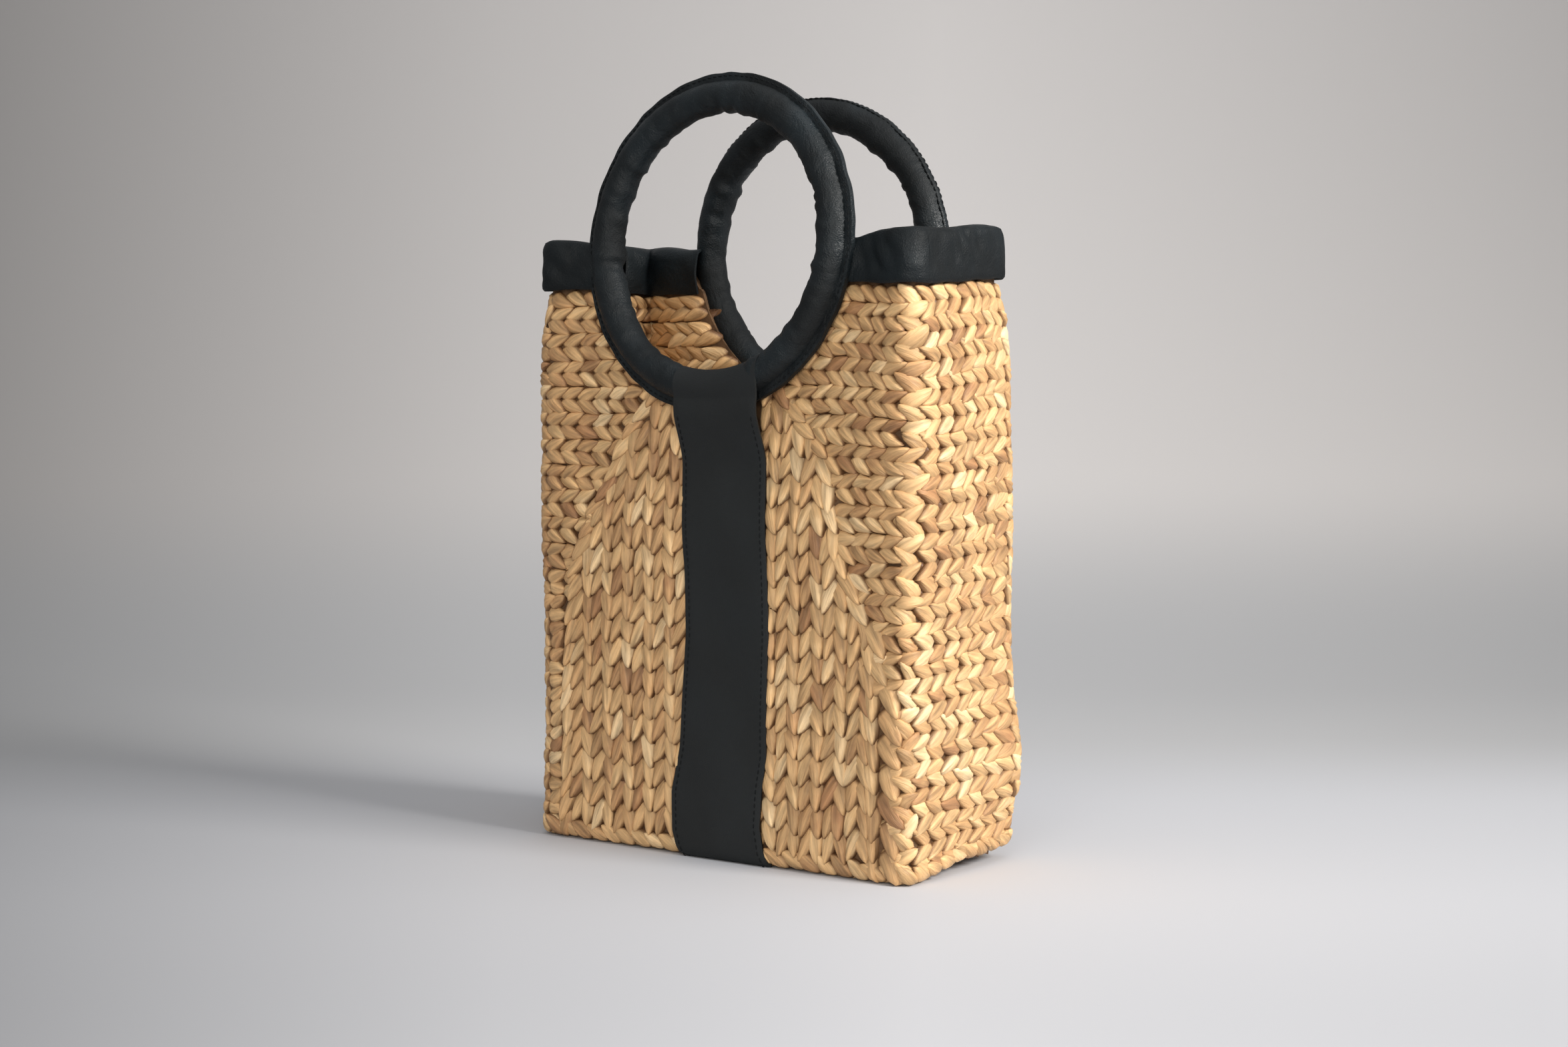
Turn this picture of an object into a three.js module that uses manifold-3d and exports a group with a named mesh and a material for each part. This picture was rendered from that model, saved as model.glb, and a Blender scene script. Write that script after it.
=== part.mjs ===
// A woven water-hyacinth handbag with leather-covered ring handles, as separate pieces.
// Millimetres, +Z up, the front faces -Y. The origin is the centre of the foot, on the ground.
import * as THREE from "three";
import { mergeVertices } from "three/addons/utils/BufferGeometryUtils.js";
import Module from "manifold-3d";

const wasm = await Module();
wasm.setup();

// Woven body
const RIM_WIDTH = 226;
const FOOT_WIDTH = 228;
const RIM_DEPTH = 84;
const FOOT_DEPTH = 92;
const BELLY = 2; // how far the front and back swell between the foot and the flex line
const BODY_HEIGHT = 300; // to the top of the rim band
const WALL = 9; // thickness of the weave
const CORNER_RADIUS = 8; // upright edges
const FOOT_RADIUS = 12; // edges round the foot
const INNER_FOOT_RADIUS = 4;
const RIM_ROUNDING = 2.5; // the weave's top edge, under the band

// Ring handles
const RING_RADIUS = 68.6; // middle of the round section
const RING_DROP = 5.6; // the ring's centre lies this far below the rim
const CORE_DIAMETER = 11;
const FLANGE_WIDTH = 3.4; // the cover's seam allowance, outside the round section

// Leather work
const LEATHER = 1.4;
const BAND_HEIGHT = 23;
const BAND_ROUNDING = 3;
const STRAP_WIDTH = 50;
const STRAP_OFFSET = 7; // the strap's middle lies this far right of the bag's
const STRAP_TAIL = 10; // what hangs inside, below the ring's seat
const THREAD_DIAMETER = 0.8;
const SEAM_INSET = 3; // from a leather edge to its line of stitching

// Where the wall bends when the rings are brought together
const YOKE_LEAN = 4; // degrees that each ring leans in at rest
const LEAN_SPREAD = 32; // width beside a ring over which the rim comes back out to the corner
const LEAN_STEPS = 8;
const FLEX_DROP = 15; // from the ring's foot down to the flex line
const FLEX_LIP = 3; // how far below that line the fixed wall stops
const STRAP_BEND_ROOM = 2; // length of strap that does the bending

// Clearances
const FIT = 0.3; // between touching pieces
const COVER_PLAY = 0.5; // between the ring's core and its cover
const NOTCH_PLAY = 0.6; // between the cover and the notch in the weave
const BAND_END_PLAY = 0.6; // between the flange and a band's cut end
const FOLD_PLAY = 0.45; // between the cover and the strap folded over it

// Fineness
const CORNER_STEPS = 6;
const FOOT_STEPS = 4;
const BELLY_STEPS = 4;
const RING_STEPS = 48;
const CORE_SIDES = 12;
const COVER_SIDES = 12;
const THREAD_SIDES = 6;
const THREAD_STEP = 4;
const BEND_STEPS = 8;
const BAND_STEPS = 3;
const KNUCKLE_SIDES = 32;
const LEAST_RADIUS = 0.5;

// Sizes that follow from the ones above
const SKIN = LEATHER + FIT; // a layer of leather with its clearance
const COVER_INNER = CORE_DIAMETER / 2 + COVER_PLAY;
const COVER_OUTER = COVER_INNER + LEATHER;
const FLANGE_HALF = LEATHER + FIT / 2;
const FLANGE_RADIUS = RING_RADIUS + COVER_OUTER + FLANGE_WIDTH;
const RING_HEIGHT = BODY_HEIGHT - RING_DROP;
const FLEX_HEIGHT = RING_HEIGHT - FLANGE_RADIUS - FLEX_DROP;
const YOKE_FACE = RIM_DEPTH / 2; // distance of a yoke's outer face from the middle
const YOKE_MIDDLE = YOKE_FACE - WALL / 2;
// A yoke ends before the corner starts to turn, and clear of the band inside the side wall.
const YOKE_HALF_WIDTH = RIM_WIDTH / 2 - Math.max(CORNER_RADIUS, WALL + SKIN + LEAST_RADIUS);
const RING_PLANE = YOKE_FACE + FIT + FLANGE_HALF;
const WEAVE_TOP = BODY_HEIGHT - SKIN;
const BAND_BOTTOM = BODY_HEIGHT - BAND_HEIGHT;
const NOTCH_RADIUS = RING_RADIUS + COVER_OUTER + NOTCH_PLAY;
const STRAP_SEAT = RING_HEIGHT - NOTCH_RADIUS - SKIN; // the notch is level under the strap
const STRAP_LIFT = FIT + LEATHER / 2; // from the weave to the middle of the leather
const KNUCKLE_RADIUS = WALL / 2;
const THREAD_LIFT = FIT + THREAD_DIAMETER / 2;
const FULL_LEAN = RIM_WIDTH / 2 - LEAN_SPREAD; // the whole lean, up to this far from the middle
const FAR = 2 * (BODY_HEIGHT + RING_RADIUS); // longer than anything in the model

// Materials
const straw = new THREE.MeshStandardMaterial({ color: 0xc79a5f, roughness: 0.7, metalness: 0 });
const leather = new THREE.MeshStandardMaterial({ color: 0x15191b, roughness: 0.5, metalness: 0 });
const cane = new THREE.MeshStandardMaterial({ color: 0xb58a55, roughness: 0.6, metalness: 0 });
const blackThread = new THREE.MeshStandardMaterial({ color: 0x0c0d0e, roughness: 0.8, metalness: 0 });

// Geometry to solid and back, for joins and cuts
function solidOf(geometry) {
  const bare = geometry.clone();
  bare.deleteAttribute("normal");
  bare.deleteAttribute("uv");
  const merged = mergeVertices(bare, 1e-4);
  return new wasm.Manifold(
    new wasm.Mesh({
      numProp: 3,
      vertProperties: new Float32Array(merged.attributes.position.array),
      triVerts: new Uint32Array(merged.index.array),
    }),
  );
}

function geometryOf(solid) {
  const mesh = solid.getMesh();
  const geometry = new THREE.BufferGeometry();
  geometry.setAttribute("position", new THREE.BufferAttribute(mesh.vertProperties, 3));
  geometry.setIndex(new THREE.BufferAttribute(mesh.triVerts, 1));
  geometry.computeVertexNormals();
  return geometry;
}

function boxBetween([x0, y0, z0], [x1, y1, z1]) {
  const box = new THREE.BoxGeometry(x1 - x0, y1 - y0, z1 - z0);
  box.translate((x0 + x1) / 2, (y0 + y1) / 2, (z0 + z1) / 2);
  return box;
}

function block(low, high) {
  return solidOf(boxBetween(low, high));
}

// Leans the front's geometry in about its flex line, as far as its ring leans at rest.
function leanIn(geometry) {
  geometry.translate(0, YOKE_MIDDLE, -FLEX_HEIGHT);
  geometry.rotateX(-THREE.MathUtils.degToRad(YOKE_LEAN));
  geometry.translate(0, -YOKE_MIDDLE, FLEX_HEIGHT);
  return geometry;
}

// How far the front's rim lies in from its upright place, at a point of the wall
function leanAt(x, z) {
  const spread = (Math.abs(x) - FULL_LEAN) / LEAN_SPREAD;
  const share = 1 - THREE.MathUtils.smoothstep(spread, 0, 1);
  const slope = Math.tan(THREE.MathUtils.degToRad(YOKE_LEAN));
  return share * slope * Math.max(0, z - FLEX_HEIGHT);
}

// A round bar through the front ring, square to its plane
function barThroughRing(radius) {
  const bar = new THREE.CylinderGeometry(radius, radius, FAR, RING_STEPS);
  bar.rotateY(Math.PI / RING_STEPS);
  bar.translate(0, -FAR / 2, RING_HEIGHT);
  return solidOf(leanIn(bar));
}

// A round bar along X, on the front yoke's flex line
function flexBar(radius, halfLength) {
  const bar = new THREE.CylinderGeometry(radius, radius, 2 * halfLength, KNUCKLE_SIDES);
  bar.rotateZ(Math.PI / 2);
  bar.translate(0, -YOKE_MIDDLE, FLEX_HEIGHT);
  return solidOf(bar);
}

function arcPoints(x, y, radius, from, to, steps) {
  const points = [];
  for (let i = 0; i <= steps; i++) {
    const angle = THREE.MathUtils.degToRad(from + ((to - from) * i) / steps);
    points.push(new THREE.Vector2(x + radius * Math.cos(angle), y + radius * Math.sin(angle)));
  }
  return points;
}

function roundedRectangle(halfX, halfY, cornerRadius) {
  const radius = Math.max(cornerRadius, LEAST_RADIUS);
  const corners = [
    [1, 1],
    [-1, 1],
    [-1, -1],
    [1, -1],
  ];
  return corners.flatMap(([sideX, sideY], quarter) => {
    const start = 90 * quarter;
    const x = sideX * (halfX - radius);
    const y = sideY * (halfY - radius);
    return arcPoints(x, y, radius, start, start + 90, CORNER_STEPS);
  });
}

// The same, with points along the front and back where the rim bends in towards a ring
function bendingRectangle(halfX, halfY, cornerRadius) {
  const steps = [];
  for (let i = 0; i < LEAN_STEPS / 2; i++) steps.push(FULL_LEAN + (LEAN_SPREAD * i) / LEAN_STEPS);
  const outline = roundedRectangle(halfX, halfY, cornerRadius);
  const quarter = CORNER_STEPS + 1;
  const along = (sign, y) => {
    const right = steps.map((x) => new THREE.Vector2(sign * x, y));
    const left = steps.map((x) => new THREE.Vector2(-sign * x, y));
    return [...right.reverse(), ...left];
  };
  return [
    ...outline.slice(0, quarter),
    ...along(1, halfY),
    ...outline.slice(quarter, 3 * quarter),
    ...along(-1, -halfY),
    ...outline.slice(3 * quarter),
  ];
}

// Joins level rings of equally many points into one closed block, lowest ring first.
function loft(rings) {
  const positions = [];
  const faces = [];
  const count = rings[0].points.length;
  for (const { points, z } of rings) {
    for (const p of points) positions.push(p.x, p.y, z);
  }
  for (let r = 0; r < rings.length - 1; r++) {
    for (let i = 0; i < count; i++) {
      const here = r * count + i;
      const next = r * count + ((i + 1) % count);
      faces.push(here, next, next + count, here, next + count, here + count);
    }
  }
  const lowMiddle = rings.length * count;
  const highMiddle = lowMiddle + 1;
  const lastRing = (rings.length - 1) * count;
  positions.push(0, 0, rings[0].z, 0, 0, rings.at(-1).z);
  for (let i = 0; i < count; i++) {
    const next = (i + 1) % count;
    faces.push(lowMiddle, next, i, highMiddle, lastRing + i, lastRing + next);
  }
  const geometry = new THREE.BufferGeometry();
  geometry.setAttribute("position", new THREE.Float32BufferAttribute(positions, 3));
  geometry.setIndex(faces);
  return solidOf(geometry);
}

// The shell's form at a height: 0 is the foot's size, 1 is the rim's, from the flex line upwards
function riseAt(z) {
  return THREE.MathUtils.clamp((z - FOOT_RADIUS) / (FLEX_HEIGHT - FOOT_RADIUS), 0, 1);
}

function halfWidthAt(z) {
  return THREE.MathUtils.lerp(FOOT_WIDTH, RIM_WIDTH, riseAt(z)) / 2;
}

function halfDepthAt(z) {
  const rise = riseAt(z);
  return THREE.MathUtils.lerp(FOOT_DEPTH, RIM_DEPTH, rise) / 2 + BELLY * Math.sin(Math.PI * rise);
}

function bodyRing(z, inset) {
  const halfX = halfWidthAt(z) - inset;
  const halfY = halfDepthAt(z) - inset;
  const upright = bendingRectangle(halfX, halfY, CORNER_RADIUS - inset);
  const points = upright.map((p) => new THREE.Vector2(p.x, p.y - Math.sign(p.y) * leanAt(p.x, z)));
  return { points, z };
}

function bellyHeights() {
  const heights = [];
  for (let i = 1; i < BELLY_STEPS; i++) {
    heights.push(THREE.MathUtils.lerp(FOOT_RADIUS, FLEX_HEIGHT, i / BELLY_STEPS));
  }
  return heights;
}

// Rings up the rounded foot and the belly, `inset` inside the outer face
function lowerRings(inset, footRadius) {
  const rings = [];
  for (let i = 0; i <= FOOT_STEPS; i++) {
    const angle = (Math.PI / 2) * (i / FOOT_STEPS);
    const z = inset + footRadius * (1 - Math.cos(angle));
    rings.push(bodyRing(z, inset + footRadius * (1 - Math.sin(angle))));
  }
  for (const z of [...bellyHeights(), FLEX_HEIGHT]) rings.push(bodyRing(z, inset));
  return rings;
}

function wovenShell() {
  const outer = loft([
    ...lowerRings(0, FOOT_RADIUS),
    bodyRing(WEAVE_TOP - RIM_ROUNDING, 0),
    bodyRing(WEAVE_TOP, RIM_ROUNDING),
  ]);
  const inner = loft([
    ...lowerRings(WALL, INNER_FOOT_RADIUS),
    bodyRing(WEAVE_TOP - RIM_ROUNDING, WALL),
    bodyRing(WEAVE_TOP, WALL - RIM_ROUNDING),
    bodyRing(WEAVE_TOP + WALL, WALL - RIM_ROUNDING),
  ]);
  return outer.subtract(inner);
}

// The fixed weave: the shell without its two yokes, and with the strap's bed across the foot
function wovenBody(shell) {
  const half = YOKE_HALF_WIDTH + FIT / 2;
  const window = block([-half, -FAR, FLEX_HEIGHT - FLEX_LIP], [half, 0, FAR]);
  const room = window.add(flexBar(KNUCKLE_RADIUS + FIT, half));
  return shell.subtract(strapBed()).subtract(room).subtract(room.rotate([0, 0, 180]));
}

// The upper front of the weave, which leans with its ring about the knuckle along its lower edge
function yokeWeave(shell, strapMiddle) {
  const half = YOKE_HALF_WIDTH - FIT / 2;
  const panel = shell.intersect(block([-half, -FAR, FLEX_HEIGHT], [half, 0, FAR]));
  const notch = barThroughRing(NOTCH_RADIUS);
  const seatHalf = STRAP_WIDTH / 2 + FIT;
  const seatLow = [strapMiddle - seatHalf, -FAR, STRAP_SEAT];
  const seat = solidOf(leanIn(boxBetween(seatLow, [strapMiddle + seatHalf, 0, FAR])));
  return panel.add(flexBar(KNUCKLE_RADIUS, half)).subtract(notch).subtract(seat);
}

// Leather strips, drawn from the side as a path of Y and Z with a thickness
function ribbonOutline(path, thickness) {
  const one = [];
  const other = [];
  path.forEach((point, i) => {
    const before = path[Math.max(0, i - 1)];
    const after = path[Math.min(path.length - 1, i + 1)];
    const along = after.clone().sub(before).normalize();
    const across = new THREE.Vector2(-along.y, along.x).multiplyScalar(thickness / 2);
    one.push(point.clone().add(across));
    other.push(point.clone().sub(across));
  });
  return new THREE.Shape([...one, ...other.reverse()]);
}

function strip(path, thickness, width, middle) {
  const shape = ribbonOutline(path, thickness);
  const geometry = new THREE.ExtrudeGeometry(shape, { depth: width, bevelEnabled: false });
  const axes = [new THREE.Vector3(0, 1, 0), new THREE.Vector3(0, 0, 1), new THREE.Vector3(1, 0, 0)];
  geometry.applyMatrix4(new THREE.Matrix4().makeBasis(...axes));
  geometry.translate(middle - width / 2, 0, 0);
  return geometry;
}

// The strap lies on the front and back, and level with the weave under the foot.
function strapFootPath() {
  const bend = FOOT_RADIUS + STRAP_LIFT;
  const y = FOOT_DEPTH / 2 - FOOT_RADIUS;
  const z = bend + LEATHER / 2;
  return [...arcPoints(-y, z, bend, 180, 270, BEND_STEPS), ...arcPoints(y, z, bend, 270, 360, BEND_STEPS)];
}

function strapWallHeights() {
  return [...bellyHeights(), FLEX_HEIGHT - STRAP_BEND_ROOM / 2];
}

function strapPath() {
  const back = strapWallHeights().map((z) => new THREE.Vector2(halfDepthAt(z) + STRAP_LIFT, z));
  const front = back.map((p) => new THREE.Vector2(-p.x, p.y)).reverse();
  return [...front, ...strapFootPath(), ...back];
}

function strapBed() {
  return solidOf(strip(strapFootPath(), LEATHER + 2 * FIT, STRAP_WIDTH + 2 * FIT, STRAP_OFFSET));
}

// The strap's front end rises clear of the flange, folds over the ring's foot and hangs inside.
function strapLoopPath() {
  const outside = -(YOKE_FACE + STRAP_LIFT);
  const inside = -(YOKE_FACE - WALL - STRAP_LIFT);
  const reach = COVER_OUTER + FOLD_PLAY + LEATHER / 2;
  const ringFoot = RING_HEIGHT - RING_RADIUS;
  const farEdge = STRAP_WIDTH / 2 + STRAP_OFFSET;
  const tubeTop = RING_HEIGHT - Math.sqrt((RING_RADIUS - COVER_OUTER) ** 2 - farEdge ** 2);
  const foldHeight = tubeTop - COVER_OUTER; // the ring curves up under the strap's far edge
  const knee = new THREE.Vector2(outside, FLEX_HEIGHT + KNUCKLE_RADIUS);
  const toRing = new THREE.Vector2(-RING_PLANE, ringFoot).sub(knee);
  const lean = Math.asin(reach / toRing.length()) + Math.atan2(-toRing.x, toRing.y);
  const touch = 180 + THREE.MathUtils.radToDeg(lean);
  return [
    new THREE.Vector2(outside, FLEX_HEIGHT + STRAP_BEND_ROOM / 2),
    knee,
    ...arcPoints(-RING_PLANE, ringFoot, reach, touch, 180, 2),
    ...arcPoints(-RING_PLANE, foldHeight, reach, 180, 0, BEND_STEPS),
    new THREE.Vector2(-(RING_PLANE - reach), ringFoot),
    new THREE.Vector2(inside, STRAP_SEAT + LEATHER),
    new THREE.Vector2(inside, STRAP_SEAT - STRAP_TAIL),
  ];
}

// Rings from the band's lower edge over its rounded top, `inset` inside the wall's outer face
function bandRings(inset, side) {
  const rings = [bodyRing(BAND_BOTTOM - WALL, inset)];
  for (let i = 0; i <= BAND_STEPS; i++) {
    const angle = (Math.PI / 2) * (i / BAND_STEPS);
    const z = BODY_HEIGHT - BAND_ROUNDING * (1 - Math.sin(angle));
    rings.push(bodyRing(z, inset + side * BAND_ROUNDING * (1 - Math.cos(angle))));
  }
  return rings;
}

// The rim band: leather over both faces of the wall and its top, cut short of the rings
function rimBand() {
  const outside = loft(bandRings(-SKIN, 1));
  const mouth = loft([...bandRings(WALL + SKIN, -1), bodyRing(BODY_HEIGHT + WALL, WALL + SKIN - BAND_ROUNDING)]);
  const below = block([-FAR, -FAR, -FAR], [FAR, FAR, BAND_BOTTOM]);
  const shoulder = WEAVE_TOP - RIM_ROUNDING + FIT;
  const wallRoom = loft([
    bodyRing(FLEX_HEIGHT, -FIT),
    bodyRing(shoulder, -FIT),
    bodyRing(WEAVE_TOP + FIT, RIM_ROUNDING - FIT),
  ]);
  const inside = loft([
    bodyRing(FLEX_HEIGHT, WALL + FIT),
    bodyRing(shoulder, WALL + FIT),
    bodyRing(WEAVE_TOP + FIT, WALL - RIM_ROUNDING + FIT),
    bodyRing(WEAVE_TOP + WALL, WALL - RIM_ROUNDING + FIT),
  ]);
  const ring = barThroughRing(FLANGE_RADIUS + BAND_END_PLAY);
  const skin = outside.subtract(mouth).subtract(below);
  return skin.subtract(wallRoom.subtract(inside)).subtract(ring).subtract(ring.rotate([0, 0, 180]));
}

// The stretch of band on the fixed wall, on the side given by `side`
function sideBand(band, side) {
  const cut = YOKE_HALF_WIDTH + FIT / 2;
  const [x0, x1] = side > 0 ? [cut, FAR] : [-FAR, -cut];
  return band.intersect(block([x0, -FAR, 0], [x1, FAR, FAR]));
}

// The short stretch of band on the front yoke, between the ring and the corner
function yokeBand(band, side) {
  const cut = YOKE_HALF_WIDTH - FIT / 2;
  const [x0, x1] = side > 0 ? [0, cut] : [-cut, 0];
  return band.intersect(block([x0, -FAR, 0], [x1, 0, FAR]));
}

// Ring handles: closed profiles of radius and depth, turned into rings that lie across Y
function ringCore() {
  const profile = arcPoints(RING_RADIUS, 0, CORE_DIAMETER / 2, 0, 360, CORE_SIDES);
  profile[CORE_SIDES] = profile[0].clone();
  return new THREE.LatheGeometry(profile, RING_STEPS);
}

// The cover is one strip wrapped round the core. Its two edges lie together as a flange.
function ringCover() {
  const slit = FIT / 2;
  const lipAngle = THREE.MathUtils.radToDeg(Math.asin(FLANGE_HALF / COVER_OUTER));
  const slitAngle = THREE.MathUtils.radToDeg(Math.asin(slit / COVER_INNER));
  const profile = [
    new THREE.Vector2(FLANGE_RADIUS, slit),
    new THREE.Vector2(FLANGE_RADIUS, FLANGE_HALF),
    ...arcPoints(RING_RADIUS, 0, COVER_OUTER, lipAngle, 360 - lipAngle, COVER_SIDES),
    new THREE.Vector2(FLANGE_RADIUS, -FLANGE_HALF),
    new THREE.Vector2(FLANGE_RADIUS, -slit),
    ...arcPoints(RING_RADIUS, 0, COVER_INNER, 360 - slitAngle, slitAngle, COVER_SIDES),
    new THREE.Vector2(FLANGE_RADIUS, slit),
  ];
  return new THREE.LatheGeometry(profile, RING_STEPS);
}

function flangeThread() {
  const seamRadius = FLANGE_RADIUS - FLANGE_WIDTH / 2;
  const thread = new THREE.TorusGeometry(seamRadius, THREAD_DIAMETER / 2, THREAD_SIDES, RING_STEPS);
  thread.rotateX(Math.PI / 2);
  thread.translate(0, -(FLANGE_HALF + THREAD_LIFT), 0);
  return thread;
}

// Stitching, as one thin thread through the given points
function threadThrough(points) {
  const line = new THREE.CurvePath();
  for (let i = 0; i < points.length - 1; i++) {
    line.add(new THREE.LineCurve3(points[i], points[i + 1]));
  }
  const round = new THREE.Shape();
  round.absarc(0, 0, THREAD_DIAMETER / 2, 0, 2 * Math.PI);
  return new THREE.ExtrudeGeometry(round, {
    steps: Math.ceil(line.getLength() / THREAD_STEP),
    extrudePath: line,
    curveSegments: THREAD_SIDES / 2,
    bevelEnabled: false,
  });
}

function strapThread(side, strapMiddle) {
  const x = strapMiddle + side * (STRAP_WIDTH / 2 - SEAM_INSET);
  const lift = SKIN + THREAD_LIFT;
  const heights = [FOOT_RADIUS + STRAP_LIFT + LEATHER, ...strapWallHeights()];
  return threadThrough(heights.map((z) => new THREE.Vector3(x, -(halfDepthAt(z) + lift), z)));
}

function yokeBandThread(side) {
  const y = -(YOKE_FACE + SKIN + THREAD_LIFT);
  const z = BAND_BOTTOM + SEAM_INSET;
  const ringEnd = FLANGE_RADIUS + BAND_END_PLAY + FIT;
  const cornerEnd = YOKE_HALF_WIDTH - FIT;
  const points = [];
  for (let i = 0; i <= LEAN_STEPS / 2; i++) {
    const x = THREE.MathUtils.lerp(ringEnd, cornerEnd, i / (LEAN_STEPS / 2));
    points.push(new THREE.Vector3(side * x, y + leanAt(x, z), z));
  }
  return threadThrough(points);
}

// Round one side of the bag, from the front corner to the back one
function sideBandThread(side) {
  const lift = SKIN + THREAD_LIFT;
  const halfY = RIM_DEPTH / 2 + lift;
  const start = YOKE_HALF_WIDTH + FIT;
  const outline = roundedRectangle(RIM_WIDTH / 2 + lift, halfY, CORNER_RADIUS + lift);
  const corners = outline.filter((p) => p.x > start).sort((a, b) => a.y - b.y);
  const path = [new THREE.Vector2(start, -halfY), ...corners, new THREE.Vector2(start, halfY)];
  const z = BAND_BOTTOM + SEAM_INSET;
  return threadThrough(
    path.map((p) => new THREE.Vector3(side * p.x, side * (p.y - Math.sign(p.y) * leanAt(p.x, z)), z)),
  );
}

// Assembly
function addPiece(group, name, geometry, material) {
  const mesh = new THREE.Mesh(geometry, material);
  mesh.name = name;
  group.add(mesh);
}

// What belongs to one end of the bag, made for the front. The back is the same, turned half round.
function bagEnd(end, sides, strapMiddle, shell, band) {
  const group = new THREE.Group();
  const loop = leanIn(strip(strapLoopPath(), LEATHER, STRAP_WIDTH, strapMiddle));
  addPiece(group, `${end}_yoke_weave`, geometryOf(yokeWeave(shell, strapMiddle)), straw);
  addPiece(group, `${end}_strap_loop`, loop, leather);
  for (const [sideName, side] of sides) {
    addPiece(group, `${end}_${sideName}_rim_band`, geometryOf(yokeBand(band, side)), leather);
    addPiece(group, `${end}_${sideName}_rim_thread`, yokeBandThread(side), blackThread);
    addPiece(group, `${end}_${sideName}_strap_thread`, strapThread(side, strapMiddle), blackThread);
  }
  const ring = [
    ["core", ringCore(), cane],
    ["cover", ringCover(), leather],
    ["thread", flangeThread(), blackThread],
  ];
  for (const [piece, geometry, material] of ring) {
    geometry.translate(0, -RING_PLANE, RING_HEIGHT);
    addPiece(group, `${end}_ring_${piece}`, leanIn(geometry), material);
  }
  return group;
}

const shell = wovenShell();
const band = rimBand();
const bag = new THREE.Group();
addPiece(bag, "woven_body", geometryOf(wovenBody(shell)), straw);
addPiece(bag, "centre_strap", strip(strapPath(), LEATHER, STRAP_WIDTH, STRAP_OFFSET), leather);
for (const [sideName, side] of [["left", -1], ["right", 1]]) {
  addPiece(bag, `${sideName}_rim_band`, geometryOf(sideBand(band, side)), leather);
  addPiece(bag, `${sideName}_rim_thread`, sideBandThread(side), blackThread);
}
const front = bagEnd("front", [["left", -1], ["right", 1]], STRAP_OFFSET, shell, band);
const back = bagEnd("back", [["right", -1], ["left", 1]], -STRAP_OFFSET, shell, band);
back.rotation.z = Math.PI;
bag.add(front, back);

export default bag;
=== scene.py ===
# %% [markdown]
# # A woven handbag with leather ring handles
# The bag is twined from dried water-hyacinth stems. Two cane rings in black leather are its
# handles, a leather strap holds them together round the bag, and leather bands cover the rim.
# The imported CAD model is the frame. Its soft solids are replaced, one after the other, by
# pieces with their real surface: stitches of stem, folded leather and sewn thread.

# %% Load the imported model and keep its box
import math

import bpy
import numpy as np
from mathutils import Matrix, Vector


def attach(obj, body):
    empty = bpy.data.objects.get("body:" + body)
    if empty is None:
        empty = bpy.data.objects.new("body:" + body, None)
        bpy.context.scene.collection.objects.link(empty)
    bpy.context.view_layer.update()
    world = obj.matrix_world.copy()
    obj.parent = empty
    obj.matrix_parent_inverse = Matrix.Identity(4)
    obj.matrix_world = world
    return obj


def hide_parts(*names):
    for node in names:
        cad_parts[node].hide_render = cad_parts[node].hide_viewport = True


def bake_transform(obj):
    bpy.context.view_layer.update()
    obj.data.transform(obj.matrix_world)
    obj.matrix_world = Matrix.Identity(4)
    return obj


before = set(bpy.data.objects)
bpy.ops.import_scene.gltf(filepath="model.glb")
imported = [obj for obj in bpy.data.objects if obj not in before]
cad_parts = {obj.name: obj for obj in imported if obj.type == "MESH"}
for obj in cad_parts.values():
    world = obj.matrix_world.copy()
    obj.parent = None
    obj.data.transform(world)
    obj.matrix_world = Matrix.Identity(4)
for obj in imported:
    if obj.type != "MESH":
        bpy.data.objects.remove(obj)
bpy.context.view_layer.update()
MM = 0.001

# %% [markdown]
# ## The camera
# The photograph was taken with a fairly long lens from a little above the bag's middle. The lens,
# the distance and the turn were found from the corners of the bag and the ellipses of the rings.

# %% Place the camera
VIEW_TURN, VIEW_DOWN = 36.96, 2.87
lens = bpy.data.cameras.new("studio_camera")
lens.sensor_fit = "HORIZONTAL"
lens.sensor_width = 36
lens.lens = 53.065
camera = bpy.data.objects.new("studio_camera", lens)
camera.location = (0.6914, -0.9078, 0.2171)
camera.rotation_euler = (math.radians(90 - VIEW_DOWN), 0, math.radians(VIEW_TURN))
bpy.context.scene.collection.objects.link(camera)
bpy.context.scene.camera = camera
print("lens", lens.lens, "mm from", [round(c, 3) for c in camera.location])


# %% [markdown]
# ## Helpers for nodes
# Materials here are made of nodes only. One helper adds a node, sets its choices and fills or
# links its sockets, which keeps each material short enough to read.

# %% Add nodes and groups
def fill(tree, node, inputs):
    """Link or set sockets of a node."""
    for name, value in inputs.items():
        if isinstance(value, bpy.types.NodeSocket):
            tree.links.new(value, node.inputs[name])
        else:
            node.inputs[name].default_value = value


def add_node(tree, kind, inputs=None, **choices):
    node = tree.nodes.new(kind)
    for name, value in choices.items():
        setattr(node, name, value)
    fill(tree, node, inputs or {})
    return node


def math_node(tree, operation, first, second=0.0, third=0.0, clamp=False):
    inputs = {0: first, 1: second, 2: third}
    return add_node(tree, "ShaderNodeMath", inputs, operation=operation, use_clamp=clamp).outputs[0]


def mix_colour(tree, factor, first, second, blend="MIX"):
    node = add_node(tree, "ShaderNodeMix", data_type="RGBA", blend_type=blend)
    sockets = {socket.identifier: socket for socket in node.inputs}
    for name, value in (("Factor_Float", factor), ("A_Color", first), ("B_Color", second)):
        if isinstance(value, bpy.types.NodeSocket):
            tree.links.new(value, sockets[name])
        else:
            sockets[name].default_value = value if name == "Factor_Float" else (*value[:3], 1)
    return next(socket for socket in node.outputs if socket.identifier == "Result_Color")


def as_grey(tree, value):
    return add_node(tree, "ShaderNodeCombineColor", {"Red": value, "Green": value, "Blue": value}).outputs[0]


def object_place(tree):
    return add_node(tree, "ShaderNodeTexCoord").outputs["Object"]


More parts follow.
